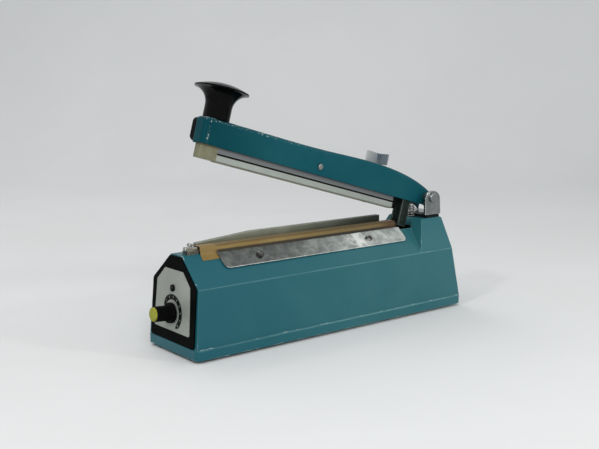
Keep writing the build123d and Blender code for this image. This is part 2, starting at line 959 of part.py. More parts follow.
cloth_front = front_x + cloth_front_gap
with BuildPart() as ptfe_cloth:
    with BuildSketch(Plane.YZ.offset(cloth_front)):
        with BuildLine():
            Polyline(
                on_near_slope(clamp_drop + cloth_under_clamp),
                on_near_slope(clamp_drop - cloth_lift),
                (seal_y - bed_half_width - cloth_gap, element_top + cloth_gap),
                (seal_y + bed_half_width + cloth_gap, element_top + cloth_gap),
                (rail_inner - cloth_lift, top_z + cloth_gap),
                (rail_inner + cloth_under_rail, top_z + cloth_gap),
            )
            offset(amount=cloth_thickness, side=Side.LEFT)
        make_face()
    extrude(amount=base_length - cloth_front_gap - cloth_rear_gap)
save(ptfe_cloth, "ptfe_cloth")

# Clamp plate and its screws on the near slope
clamp_plane = near_slope.offset(cloth_lift)
with BuildPart() as clamp_plate:
    with BuildSketch(clamp_plane) as clamp_sketch:
        with Locations((clamp_middle, -clamp_drop - clamp_width / 2)):
            Rectangle(clamp_length, clamp_width)
        fillet(clamp_sketch.vertices().sort_by(Axis.Y)[:2], clamp_corner)
    extrude(amount=clamp_thickness)
    for place in clamp_spots:
        drill(place * Location((0, 0, cloth_lift + clamp_thickness)), clamp_thickness, hole_gap)
save(clamp_plate, "clamp_plate")

with BuildPart() as clamp_screws:
    for place in clamp_spots:
        seat = place * Location((0, 0, cloth_lift + clamp_thickness))
        pan_screw(seat, cloth_lift + clamp_thickness + 2 * housing_wall, clamp_head_radius)
save(clamp_screws, "clamp_screws")

# Cutter guide rail on the far slope: a slotted wall with a ramped front and a screwed foot
rail_front = front_x + rail_front_gap
rail_top = top_z + rail_top_rise
rail_lift = cloth_lift / cos(slope_fall)
foot_lift = rail_lift + rail_foot_thickness / cos(slope_fall)
foot_end = rail_outer + rail_foot_reach
with BuildPart() as cutter_guide_rail:
    with BuildSketch(Plane.YZ.offset(rail_front)):
        with BuildLine():
            Polyline(
                (rail_inner, top_z + cloth_lift),
                (rail_inner, rail_top),
                (blade_y - slot_width / 2, rail_top),
                (blade_y - slot_width / 2, rail_top - slot_depth),
                (blade_y + slot_width / 2, rail_top - slot_depth),
                (blade_y + slot_width / 2, rail_top),
                (rail_outer, rail_top),
                (rail_outer, slope_z(rail_outer) + foot_lift),
                (foot_end, slope_z(foot_end) + foot_lift),
                (foot_end, slope_z(foot_end) + rail_lift),
                (top_half_width, top_z + cloth_lift),
                close=True,
            )
        make_face()
    extrude(amount=rail_length)
    with BuildSketch(Plane.XZ):
        with BuildLine():
            Polyline(
                (rail_front, rail_top),
                (rail_front + rail_ramp_length, rail_top),
                (rail_front, rail_top - rail_ramp_drop),
                close=True,
            )
        make_face()
    extrude(amount=base_width, both=True, mode=Mode.SUBTRACT)
    for place in rail_spots:
        seat = place * Location((0, 0, cloth_lift + rail_foot_thickness))
        drill(seat, cloth_lift + rail_foot_thickness, hole_gap)
save(cutter_guide_rail, "cutter_guide_rail")

with BuildPart() as guide_rail_screws:
    for place in rail_spots:
        seat = place * Location((0, 0, cloth_lift + rail_foot_thickness))
        pan_screw(seat, cloth_lift + rail_foot_thickness + 2 * housing_wall)
save(guide_rail_screws, "guide_rail_screws")

# Hinge bracket on its pad, with the pin, clip and screws
ear_outer = ear_half_span + bracket_thickness
bracket_front = pivot_x - bracket_front_reach
bracket_rear = pivot_x + bracket_rear_reach
with BuildPart() as bracket_pad:
    block(Plane.XY, (bracket_front, bracket_rear), (-ear_outer, ear_outer), (tower_z, pad_top))
    for x, y in bracket_spots:
        drill(Location((x, y, pad_top)), pad_thickness, hole_gap)
save(bracket_pad, "bracket_pad")

with BuildPart() as hinge_bracket:
    block(Plane.XY, (bracket_front, bracket_rear), (-ear_outer, ear_outer), (pad_top, bracket_floor))
    for side in (-1, 1):
        with BuildSketch(Plane.XZ.offset(-side * (ear_half_span + bracket_thickness / 2))):
            with BuildLine():
                Polyline(
                    (pivot_x + ear_half_width, pivot_z),
                    (pivot_x + ear_rear_foot, pad_top),
                    (pivot_x - ear_half_width, pad_top),
                    (pivot_x - ear_half_width, pivot_z),
                )
                ThreePointArc(
                    (pivot_x - ear_half_width, pivot_z),
                    (pivot_x, pivot_z + ear_rise),
                    (pivot_x + ear_half_width, pivot_z),
                )
            make_face()
            with Locations((pivot_x, pivot_z)):
                Circle(pin_radius + thread_gap, mode=Mode.SUBTRACT)
        extrude(amount=bracket_thickness / 2, both=True)
    for x, y in bracket_spots:
        drill(Location((x, y, bracket_floor)), bracket_thickness, hole_gap)
save(hinge_bracket, "hinge_bracket")

with BuildPart() as bracket_screws:
    for x, y in bracket_spots:
        pan_screw(Location((x, y, bracket_floor)), bracket_screw_length)
save(bracket_screws, "bracket_screws")

pin_near = Plane(origin=(pivot_x, -ear_outer, pivot_z), x_dir=(1, 0, 0), z_dir=(0, -1, 0))
pin_far = Plane(origin=(pivot_x, ear_outer, pivot_z), x_dir=(1, 0, 0), z_dir=(0, 1, 0))
with BuildPart() as hinge_pin:
    with BuildSketch(pin_near):
        Circle(pin_head_radius)
    extrude(amount=pin_head_height)
    fillet(hinge_pin.edges().sort_by(Axis.Y)[0], pin_head_height / 2)
    with BuildSketch(pin_near):
        Circle(pin_radius)
    extrude(amount=-(2 * ear_outer + pin_tail))
save(hinge_pin, "hinge_pin")

with BuildPart() as pin_clip:
    with BuildSketch(pin_far):
        Circle(clip_radius)
        Circle(pin_radius + thread_gap, mode=Mode.SUBTRACT)
    extrude(amount=clip_thickness)
save(pin_clip, "pin_clip")

with BuildPart() as hinge_spacers:
    arm_edges = (seal_y - arm_half_width - spacer_gap, seal_y + arm_half_width + spacer_gap)
    for ear_y, arm_y in zip((-ear_half_span, ear_half_span), arm_edges):
        with BuildSketch(Plane.XZ.offset(-ear_y)):
            with Locations((pivot_x, pivot_z)):
                Circle(pin_radius + pin_fit + spacer_wall)
                Circle(pin_radius + pin_fit, mode=Mode.SUBTRACT)
        extrude(amount=ear_y - arm_y)
save(hinge_spacers, "hinge_spacers")

# Sealing arm: a channel open below, with the heel that stops it open and the spring seat
u_axis = arm_plane.x_dir
v_axis = arm_plane.y_dir
heel_drop = (pivot_z - bracket_floor - heel_gap - arm_rear_reach * sin(lean)) / cos(lean)
crest_fall = (arm_waist_top - arm_front_top) / (arm_length - arm_waist_reach)


def crest_at(u):
    return arm_waist_top - (u - arm_waist_reach) * crest_fall


def arm_crest(drop):
    Spline(
        (-arm_rear_reach, arm_rear_top - drop),
        (arm_hip_reach, arm_hip_top - drop),
        (arm_peak_reach, arm_peak_top - drop),
        (arm_waist_reach, arm_waist_top - drop),
        tangents=(
            (cos(radians(arm_rear_rise)), sin(radians(arm_rear_rise))),
            (arm_length - arm_waist_reach, arm_front_top - arm_waist_top),
        ),
    )


def stand(u, v, y=0.0):
    return Plane(origin=arm_plane.from_local_coords((u, v, y)), x_dir=u_axis, z_dir=v_axis)


def across(u, v, y=0.0):
    return Plane(origin=arm_plane.from_local_coords((u, v, y)), x_dir=u_axis, z_dir=(0, 1, 0))


cutter_rail_front = arm_length - cutter_rail_set_back
rail_screw_us = (cutter_rail_rear + cutter_screw_inset, cutter_rail_front - cutter_screw_inset)
cutter_outer = arm_half_width + cutter_rail_width
with BuildPart() as arm_channel:
    with BuildSketch(arm_plane):
        with BuildLine():
            arm_crest(0)
            Polyline(
                (arm_waist_reach, arm_waist_top),
                (arm_length, arm_front_top),
                (arm_length, -arm_front_bottom),
                (0, -arm_bottom),
                (-arm_rear_reach, -heel_drop),
                (-arm_rear_reach, arm_rear_top),
            )
        make_face()
    extrude(amount=arm_half_width, both=True)
    nose = arm_channel.faces().sort_by(Axis.X)[0]
    fillet(nose.edges().filter_by(Axis.Y, reverse=True), arm_nose_round)
    nose = arm_channel.faces().sort_by(Axis.X)[0]
    fillet(nose.edges().filter_by(Axis.Y).sort_by(Axis.Z)[-1], arm_nose_round)
    with BuildSketch(arm_plane):
        with BuildLine():
            arm_crest(arm_wall)
            Polyline(
                (arm_waist_reach, arm_waist_top - arm_wall),
                (arm_length - arm_wall, arm_front_top - arm_wall),
                (arm_length - arm_wall, -heel_drop),
                (-arm_rear_reach, -heel_drop),
                (-arm_rear_reach, arm_rear_top - arm_wall),
            )
        make_face()
    extrude(amount=arm_inner, both=True, mode=Mode.SUBTRACT)
    block(
        arm_plane,
        (seat_rear, seat_front),
        (seat_top - seat_thickness, seat_top),
        (-arm_inner, arm_inner),
    )
    with BuildSketch(arm_plane):
        Circle(pin_radius + pin_fit)
        with Locations((bar_reach, 0)):
            Circle(bar_pin_radius + thread_gap)
    extrude(amount=arm_half_width, both=True, mode=Mode.SUBTRACT)
    handle_axis = stand(handle_reach, 0, handle_out).location
    rod(handle_axis, handle_screw_radius + hole_gap, arm_length, mode=Mode.SUBTRACT)
    for u in rail_screw_us:
        drill(across(u, cutter_screw_up, arm_half_width).location, 2 * arm_wall, thread_gap)
save(arm_channel, "arm_channel")

with BuildPart() as hinge_sleeve:
    with BuildSketch(arm_plane):
        Circle(pin_radius + pin_fit + sleeve_wall)
        Circle(pin_radius + pin_fit, mode=Mode.SUBTRACT)
    extrude(amount=arm_inner - sleeve_gap, both=True)
save(hinge_sleeve, "hinge_sleeve")

# Mushroom handle and the screw that holds it from inside the arm
handle_foot = crest_at(handle_reach - neck_radius)
lip_low = handle_height - dome_height - lip_height
flare = disc_radius - neck_radius
flare_radius = (flare**2 + (lip_low - neck_straight) ** 2) / (2 * flare)
dome_radius = (disc_radius**2 + dome_height**2) / (2 * dome_height)
with BuildPart() as arm_handle:
    with BuildSketch(across(handle_reach, handle_foot, handle_out)):
        with BuildLine():
            Polyline((0, handle_height), (0, 0), (neck_radius, 0), (neck_radius, neck_straight))
            RadiusArc((neck_radius, neck_straight), (disc_radius, lip_low), flare_radius)
            Line((disc_radius, lip_low), (disc_radius, lip_low + lip_height))
            RadiusArc((disc_radius, lip_low + lip_height), (0, handle_height), -dome_radius)
        make_face()
    revolve(axis=Axis(arm_plane.from_local_coords((handle_reach, 0, handle_out)), v_axis))
    bore_place = stand(handle_reach, handle_foot, handle_out).location
    bore_depth = handle_screw_depth + handle_bore_gap
    rod(bore_place, handle_screw_radius + thread_gap, bore_depth, mode=Mode.SUBTRACT)
save(arm_handle, "arm_handle")

with BuildPart() as handle_screw:
    head_top = crest_at(handle_reach + handle_head_radius) - arm_wall - thread_gap
    under_web = stand(handle_reach, head_top, handle_out).location
    rod(under_web, handle_head_radius, handle_head_height, align=hanging)
    rod(under_web, handle_screw_radius, handle_foot - head_top + handle_screw_depth)
save(handle_screw, "handle_screw")

# Press bar on its pin, with the silicone strip and the end blocks
with BuildPart() as press_bar_pin:
    near_face = across(bar_reach, 0, -arm_half_width)
    with BuildSketch(near_face):
        Circle(bar_pin_head_radius)
    extrude(amount=-bar_pin_head)
    fillet(press_bar_pin.edges().sort_by(Axis.Y)[0], bar_pin_head / 2)
    with BuildSketch(near_face):
        Circle(bar_pin_radius)
    extrude(amount=2 * arm_half_width - hole_gap)
save(press_bar_pin, "press_bar_pin")

with BuildPart() as press_bar:
    bar_span = (-bar_half_width, bar_half_width)
    block(arm_plane, (bar_rear, bar_front), (bar_bottom, bar_top), bar_span)
    groove_low = bar_bottom + bar_groove_up
    for side in (-1, 1):
        groove = sorted((side * bar_half_width, side * (bar_half_width - bar_groove_depth)))
        groove_rise = (groove_low, groove_low + bar_groove_height)
        block(arm_plane, (bar_rear, bar_front), groove_rise, groove, mode=Mode.SUBTRACT)
    block(
        arm_plane,
        (bar_rear, bar_front),
        (bar_bottom, strip_bottom + strip_height),
        (-strip_half_width, strip_half_width),
        mode=Mode.SUBTRACT,
    )
    block(
        arm_plane,
        (bar_reach - tongue_half_length, bar_reach + tongue_half_length),
        (bar_top, tongue_top),
        (-tongue_half_width, tongue_half_width),
    )
    with BuildSketch(across(bar_reach, 0)):
        Circle(bar_pin_radius + bar_pin_fit)
    extrude(amount=tongue_half_width, both=True, mode=Mode.SUBTRACT)
save(press_bar, "press_bar")

with BuildPart() as silicone_strip:
    block(
        arm_plane,
        (bar_rear, bar_front),
        (strip_bottom, strip_bottom + strip_height),
        (-strip_half_width, strip_half_width),
    )
save(silicone_strip, "silicone_strip")

block_low = bar_bottom - block_drop
with BuildPart() as front_end_block:
    rise = (block_low, block_low + block_height)
    block(arm_plane, (bar_front, bar_front + front_block_length), rise, bar_span)
save(front_end_block, "front_end_block")

with BuildPart() as rear_end_block:
    block(arm_plane, (bar_rear - rear_block_length, bar_rear), rise, bar_span)
save(rear_end_block, "rear_end_block")

# Striker, welded between the arm's sides
with BuildPart() as striker_bracket:
    striker_span = (striker_reach, striker_front)
    for side in (-1, 1):
        flange = sorted((side * arm_inner, side * (arm_inner - striker_wall)))
        block(arm_plane, striker_span, (-striker_drop, striker_top), flange)
    block(arm_plane, striker_span, (-striker_drop, -striker_drop + striker_wall), (-arm_inner, arm_inner))
save(striker_bracket, "striker_bracket")

# Cutter rail on the far side of the arm, slotted from top to bottom
tongue_rear = carriage_rear + tongue_inset
tongue_front = carriage_front - tongue_inset
with BuildPart() as cutter_rail:
    with BuildSketch(arm_plane.offset(arm_half_width)) as rail_sketch:
        with BuildLine():
            Polyline(
                (cutter_rail_rear, -cutter_rail_bottom),
                (cutter_rail_rear, cutter_rail_top),
                (cutter_rail_front, cutter_rail_top),
                (cutter_rail_front, -cutter_rail_bottom),
                close=True,
            )
        make_face()
        fillet(rail_sketch.vertices(), cutter_rail_round)
    extrude(amount=cutter_rail_width)
    block(
        arm_plane,
        (tongue_rear - carriage_lift, tongue_front + carriage_travel + carriage_lift),
        (-cutter_rail_bottom, cutter_rail_top),
        (blade_out - cutter_slot / 2, blade_out + cutter_slot / 2),
        mode=Mode.SUBTRACT,
    )
    for u in rail_screw_us:
        drill(across(u, cutter_screw_up, cutter_outer).location, cutter_rail_width, hole_gap)
save(cutter_rail, "cutter_rail")

with BuildPart() as cutter_rail_screws:
    for u in rail_screw_us:
        seat = across(u, cutter_screw_up, cutter_outer).location
        pan_screw(seat, cutter_rail_width + arm_wall)
save(cutter_rail_screws, "cutter_rail_screws")

# Cutter carriage, astride the rail, with its thumb tab and blade
carriage_low = cutter_rail_top + carriage_lift
carriage_top = carriage_low + carriage_height
keeper_top = -cutter_rail_bottom - carriage_lift
lap_top = keeper_top - keeper_thickness
tongue_near = blade_out - tongue_thickness / 2
tongue_far = blade_out + tongue_thickness / 2
tab_near = blade_out - tab_thickness / 2
tab_far = blade_out + tab_thickness / 2
with BuildPart() as cutter_carriage:
    block(
        arm_plane,
        (carriage_rear, carriage_front),
        (carriage_low, carriage_top),
        (arm_half_width + carriage_side_gap, cutter_outer),
    )
    tongue_span = (tongue_rear, tongue_front)
    block(arm_plane, tongue_span, (keeper_top, carriage_low), (tongue_near, tongue_far))
    block(
        arm_plane,
        tongue_span,
        (lap_top, keeper_top),
        (blade_out - keeper_half_width, blade_out + keeper_half_width),
    )
    block(arm_plane, tongue_span, (lap_top - blade_overlap, lap_top), (blade_out, tongue_far))
    block(
        arm_plane,
        (tongue_rear - thread_gap, tongue_front + thread_gap),
        (carriage_top - tab_root, carriage_top),
        (tab_near - thread_gap, tab_far + thread_gap),
        mode=Mode.SUBTRACT,
    )
    blade_middle = (tongue_rear + tongue_front) / 2
    rivet_v = lap_top - blade_overlap / 2
    rivet_spots = [across(blade_middle + side * rivet_spacing / 2, rivet_v, blade_out) for side in (-1, 1)]
    for place in rivet_spots:
        rod(place.location, rivet_radius + thread_gap, tongue_thickness, mode=Mode.SUBTRACT)
save(cutter_carriage, "cutter_carriage")

with BuildPart() as thumb_tab:
    tab_top = carriage_top + tab_height
    block(arm_plane, tongue_span, (carriage_top - tab_root, carriage_top), (tab_near, tab_far))
    block(arm_plane, (carriage_rear, carriage_front), (carriage_top, tab_top), (tab_near, tab_far))
    block(
        arm_plane,
        (carriage_rear, carriage_rear + tab_thickness),
        (carriage_top, tab_top),
        (blade_out - tab_cross, tab_far),
    )
save(thumb_tab, "thumb_tab")

with BuildPart() as cutter_blade:
    with BuildSketch(arm_plane.offset(blade_out - blade_thickness)):
        half = blade_length / 2
        with BuildLine():
            Polyline(
                (blade_middle - half, lap_top),
                (blade_middle + half, lap_top),
                (blade_middle + half, -blade_shoulder),
                (blade_middle + blade_tip / 2, -blade_drop),
                (blade_middle - blade_tip / 2, -blade_drop),
                (blade_middle - half, -blade_shoulder),
                close=True,
            )
        make_face()
    extrude(amount=blade_thickness)
    for place in rivet_spots:
        rod(place.location, rivet_radius + thread_gap, blade_thickness, mode=Mode.SUBTRACT, align=hanging)
save(cutter_blade, "cutter_blade")

with BuildPart() as blade_rivets:
    for place in rivet_spots:
        far_lap = place.offset(tongue_thickness / 2)
        near_lap = place.offset(-blade_thickness)
        rod(near_lap.location, rivet_radius, blade_thickness + tongue_thickness / 2)
        rod(far_lap.location, rivet_head_radius, rivet_head)
        rod(near_lap.location, rivet_head_radius, rivet_head, align=hanging)
save(blade_rivets, "blade_rivets")

# Return spring between the tower and the arm's spring seat
coil_outer = spring_radius + spring_wire / 2
seat_under = seat_top - seat_thickness
seat_u = (spring_reach - coil_outer + seat_under * sin(lean)) / cos(lean)
spring_low = tower_z + spring_seat_gap + spring_wire / 2
spring_high = pivot_z + seat_u * sin(lean) + seat_under * cos(lean) - spring_top_gap - spring_wire / 2
spring_pitch = (spring_high - spring_low) / spring_turns
rise_per_radian = spring_pitch / (2 * pi)
quarter = pi / 2


def coil_point(angle):
    x = pivot_x - spring_reach + spring_radius * cos(angle)
    return Vector(x, seal_y + spring_radius * sin(angle), spring_low + angle * rise_per_radian)


def coil_tangent(angle):
    along = Vector(-spring_radius * sin(angle), spring_radius * cos(angle), rise_per_radian)
    return along.normalized()


def biarc_joint(start, start_tangent, end, end_tangent):
    chord = end - start
    total = start_tangent + end_tangent
    spread = 2 * (1 - start_tangent.dot(end_tangent))
    reach = (-chord.dot(total) + sqrt(chord.dot(total) ** 2 + spread * chord.dot(chord))) / spread
    return (start + end + (start_tangent - end_tangent) * reach) / 2


with BuildPart() as return_spring:
    with BuildLine() as coil_path:
        for step in range(4 * spring_turns):
            first, last = step * quarter, (step + 1) * quarter
            start, end = coil_point(first), coil_point(last)
            joint = biarc_joint(start, coil_tangent(first), end, coil_tangent(last))
            lead = TangentArc(start, joint, tangent=coil_tangent(first))
            TangentArc(joint, end, tangent=lead % 1)
    with BuildSketch(Plane(origin=coil_path.line @ 0, z_dir=coil_path.line % 0)):
        Circle(spring_wire / 2)
    sweep(path=coil_path.line)
save(return_spring, "return_spring")

samples_per_turn = 36
coil_points = [
    coil_point(2 * pi * step / samples_per_turn) for step in range(samples_per_turn * spring_turns + 1)
]
least_gap = min(
    (coil_points[i] - coil_points[j]).length - spring_wire
    for i in range(len(coil_points))
    for j in range(i + samples_per_turn // 2, len(coil_points))
)
print(f"return spring: least gap between turns {least_gap:.2f} mm")

# Micro switch under the striker, on its bracket
switch_low = switch_top - switch_height
switch_near = seal_y - switch_width / 2
switch_far = seal_y + switch_width / 2
switch_span = (switch_x - switch_length / 2, switch_x + switch_length / 2)
switch_spots = [
    Plane(
        origin=(switch_x + side * switch_screw_spacing / 2, switch_near, switch_low + switch_screw_up),
        x_dir=(1, 0, 0),
        z_dir=(0, -1, 0),
    ).location
    for side in (-1, 1)
]
button_hole = Location((switch_x, seal_y, switch_top))
with BuildPart() as micro_switch:
    block(Plane.XY, switch_span, (switch_near, switch_far), (switch_low, switch_top))
    rod(button_hole, button_radius + button_gap, button_depth, mode=Mode.SUBTRACT, align=hanging)
    for place in switch_spots:
        drill(place, switch_width, hole_gap)
save(micro_switch, "micro_switch")

with BuildPart() as switch_button:
    button_low = switch_top - button_depth + button_under_gap
    rod(Location((switch_x, seal_y, button_low)), button_radius, button_top - button_low)
save(switch_button, "switch_button")

bracket_back = switch_far + switch_bracket_thickness
with BuildPart() as switch_bracket:
    block(Plane.XY, switch_span, (switch_far, bracket_back), (plate_top, switch_top))
    foot_top = plate_top + switch_bracket_thickness
    block(Plane.XY, switch_span, (switch_far, switch_far + switch_foot), (plate_top, foot_top))
    for place in switch_spots:
        drill(place, switch_width + switch_bracket_thickness, thread_gap)
    foot_spots_z = [
        Location((switch_x + side * switch_screw_spacing / 2, foot_y, foot_top)) for side in (-1, 1)
    ]
    for place in foot_spots_z:
        drill(place, switch_bracket_thickness, hole_gap)
save(switch_bracket, "switch_bracket")

with BuildPart() as switch_screws:
    for place in switch_spots:
        pan_screw(place, switch_width + switch_bracket_thickness)
    for place in foot_spots_z:
        pan_screw(place, switch_bracket_thickness + plate_thickness)
save(switch_screws, "switch_screws")

# Cord gland through the rear wall
with BuildPart() as cord_gland:
    rod(gland_spot, gland_flange_radius, gland_flange)
    rod(gland_spot, gland_neck_radius, housing_wall, align=hanging)
    inner_face = gland_spot * Location((0, 0, -housing_wall))
    rod(inner_face, gland_flange_radius, gland_flange, align=hanging)
    outer_face = gland_spot * Location((0, 0, gland_flange))
    gland_length = housing_wall + 2 * gland_flange
    rod(outer_face, gland_bore_radius, gland_length, mode=Mode.SUBTRACT, align=hanging)
save(cord_gland, "cord_gland")
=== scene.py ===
import json
import math

import bmesh
import bpy
from mathutils import Matrix, Vector, noise


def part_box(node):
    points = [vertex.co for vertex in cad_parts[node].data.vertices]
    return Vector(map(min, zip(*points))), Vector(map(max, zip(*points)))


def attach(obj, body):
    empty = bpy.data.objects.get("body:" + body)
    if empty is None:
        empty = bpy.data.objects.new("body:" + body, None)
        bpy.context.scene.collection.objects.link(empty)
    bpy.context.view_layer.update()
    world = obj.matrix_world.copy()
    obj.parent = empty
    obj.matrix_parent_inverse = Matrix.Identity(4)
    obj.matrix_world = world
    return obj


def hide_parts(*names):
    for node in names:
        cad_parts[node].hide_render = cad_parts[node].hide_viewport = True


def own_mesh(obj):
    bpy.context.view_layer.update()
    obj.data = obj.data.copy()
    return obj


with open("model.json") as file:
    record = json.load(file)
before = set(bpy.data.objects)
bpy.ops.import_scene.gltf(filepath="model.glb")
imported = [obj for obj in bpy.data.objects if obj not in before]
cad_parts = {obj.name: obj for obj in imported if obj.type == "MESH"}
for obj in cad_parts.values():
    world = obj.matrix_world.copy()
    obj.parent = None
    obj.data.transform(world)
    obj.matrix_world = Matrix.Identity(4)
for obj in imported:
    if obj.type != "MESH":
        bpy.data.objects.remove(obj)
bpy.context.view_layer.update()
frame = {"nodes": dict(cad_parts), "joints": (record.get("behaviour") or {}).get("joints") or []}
nodes = frame["nodes"]
joints = {joint["name"]: joint for joint in frame["joints"]}
print("frame loaded with", len(nodes), "solids")


# small helpers for meshes

def addObject(name, data):
    thing = bpy.data.objects.new(name, data)
    bpy.context.scene.collection.objects.link(thing)
    return thing


def newPiece(name, verts, faces, body, material, smooth=True):
    mesh = bpy.data.meshes.new(name)
    mesh.from_pydata(verts, [], faces)
    mesh.validate()
    piece = addObject(name, mesh)
    mesh.materials.append(material)
    for polygon in mesh.polygons:
        polygon.use_smooth = smooth
    fixNormals(mesh)
    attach(piece, body)
    return piece


def fixNormals(mesh):
    work = bmesh.new()
    work.from_mesh(mesh)
    bmesh.ops.recalc_face_normals(work, faces=work.faces)
    work.to_mesh(mesh)
    work.free()


def applyModifiers(piece):
    depsgraph = bpy.context.evaluated_depsgraph_get()
    finished = bpy.data.meshes.new_from_object(piece.evaluated_get(depsgraph))
    piece.modifiers.clear()
    piece.data = finished


def gridFaces(rows, columns):
    faces = []
    for i in range(rows - 1):
        for j in range(columns - 1):
            a = i * columns + j
            b = a + columns
            faces.append((a, b, b + 1, a + 1))
    return faces


# shader building blocks

def newGroup(name, inputs, outputs):
    group = bpy.data.node_groups.new(name, "ShaderNodeTree")
    for label, kind, value in inputs:
        socket = group.interface.new_socket(name=label, in_out="INPUT", socket_type=kind)
        socket.default_value = value
    for label, kind in outputs:
        group.interface.new_socket(name=label, in_out="OUTPUT", socket_type=kind)
    entry = group.nodes.new("NodeGroupInput")
    leave = group.nodes.new("NodeGroupOutput")
    return group, entry, leave


def addNode(tree, kind, **values):
    node = tree.nodes.new(kind)
    for key, value in values.items():
        if hasattr(node, key):
            setattr(node, key, value)
        else:
            node.inputs[key].default_value = value
    return node


def mathNode(tree, operation, first, second=None, clamp=False):
    node = tree.nodes.new("ShaderNodeMath")
    node.operation = operation
    node.use_clamp = clamp
    for socket, value in zip(node.inputs, (first, second)):
        if value is None:
            continue
        if isinstance(value, (int, float)):
            socket.default_value = value
        else:
            tree.links.new(value, socket)
    return node.outputs[0]


def mixColours(tree, factor, first, second, how="MIX"):
    node = tree.nodes.new("ShaderNodeMix")
    node.data_type = "RGBA"
    node.blend_type = how
    # of this node's sockets, inputs 6 and 7 and output 2 are the colours
    for socket, value in ((node.inputs[0], factor), (node.inputs[6], first), (node.inputs[7], second)):
        if isinstance(value, (int, float, tuple)):
            socket.default_value = value
        else:
            tree.links.new(value, socket)
    return node.outputs[2]


def spread(tree, value, low, high, newLow=0.0, newHigh=1.0):
    node = tree.nodes.new("ShaderNodeMapRange")
    node.interpolation_type = "SMOOTHSTEP"
    for socket, setting in zip(list(node.inputs)[1:5], (low, high, newLow, newHigh)):
        socket.default_value = setting
    tree.links.new(value, node.inputs[0])
    return node.outputs[0]


def between(tree, value, low, high, soft):
    # mask of the values from low to high, softened inside both ends
    rising = spread(tree, value, low, low + soft)
    return mathNode(tree, "MULTIPLY", rising, spread(tree, value, high - soft, high, 1.0, 0.0))


floatKind, colourKind, vectorKind = "NodeSocketFloat", "NodeSocketColor", "NodeSocketVector"

# ranges of noise, angle and height for the groups and finishes below, and the bend line's noise
maskLook = dict(
    edgeTilt=(0.004, 0.09), edgeGate=(0.36, 0.62), edgeTurn=(0.15, 0.4), roughRange=(0.3, 0.7),
    threadGap=0.25, bendScale=70.0, bendGate=(0.3, 0.6), bendLeast=0.35,
)


def makeEdgeGroup():
    # painted highlight and some wear along the line where two faces meet, broken up by noise
    group, entry, leave = newGroup(
        "edgeLine",
        [("Width", floatKind, 0.0008), ("Scale", floatKind, 150.0), ("Break", floatKind, 0.4)],
        [("Mask", floatKind), ("Normal", vectorKind)],
    )
    bevel = addNode(group, "ShaderNodeBevel", samples=6)
    group.links.new(entry.outputs["Width"], bevel.inputs["Radius"])
    geometry = addNode(group, "ShaderNodeNewGeometry")
    dot = addNode(group, "ShaderNodeVectorMath", operation="DOT_PRODUCT")
    group.links.new(bevel.outputs[0], dot.inputs[0])
    group.links.new(geometry.outputs["Normal"], dot.inputs[1])
    edge = spread(group, mathNode(group, "SUBTRACT", 1.0, dot.outputs["Value"]), *maskLook["edgeTilt"])
    place = addNode(group, "ShaderNodeTexCoord")
    cloud = addNode(group, "ShaderNodeTexNoise", Detail=4.0, Roughness=0.65)
    group.links.new(place.outputs["Object"], cloud.inputs["Vector"])
    group.links.new(entry.outputs["Scale"], cloud.inputs["Scale"])
    gate = spread(group, cloud.outputs["Fac"], *maskLook["edgeGate"])
    kept = mathNode(group, "SUBTRACT", 1.0, mathNode(group, "MULTIPLY", gate, entry.outputs["Break"]))
    group.links.new(mathNode(group, "MULTIPLY", edge, kept, clamp=True), leave.inputs["Mask"])
    group.links.new(bevel.outputs[0], leave.inputs["Normal"])
    return group


def makeCloudGroup():
    # soft blotches in the colour and the gloss
    group, entry, leave = newGroup(
        "softBlotches",
        [
            ("Colour", colourKind, (0.5, 0.5, 0.5, 1.0)),
            ("Blotch", colourKind, (0.6, 0.6, 0.6, 1.0)),
            ("Scale", floatKind, 20.0),
            ("Low", floatKind, 0.35),
            ("High", floatKind, 0.7),
        ],
        [("Colour", colourKind), ("Value", floatKind)],
    )
    place = addNode(group, "ShaderNodeTexCoord")
    cloud = addNode(group, "ShaderNodeTexNoise", Detail=5.0, Roughness=0.6, Distortion=0.4)
    group.links.new(place.outputs["Object"], cloud.inputs["Vector"])
    group.links.new(entry.outputs["Scale"], cloud.inputs["Scale"])
    ramp = addNode(group, "ShaderNodeMapRange", interpolation_type="SMOOTHSTEP")
    group.links.new(cloud.outputs["Fac"], ramp.inputs[0])
    group.links.new(entry.outputs["Low"], ramp.inputs[1])
    group.links.new(entry.outputs["High"], ramp.inputs[2])
    mixed = mixColours(group, ramp.outputs[0], entry.outputs["Colour"], entry.outputs["Blotch"])
    group.links.new(mixed, leave.inputs["Colour"])
    group.links.new(ramp.outputs[0], leave.inputs["Value"])
    return group


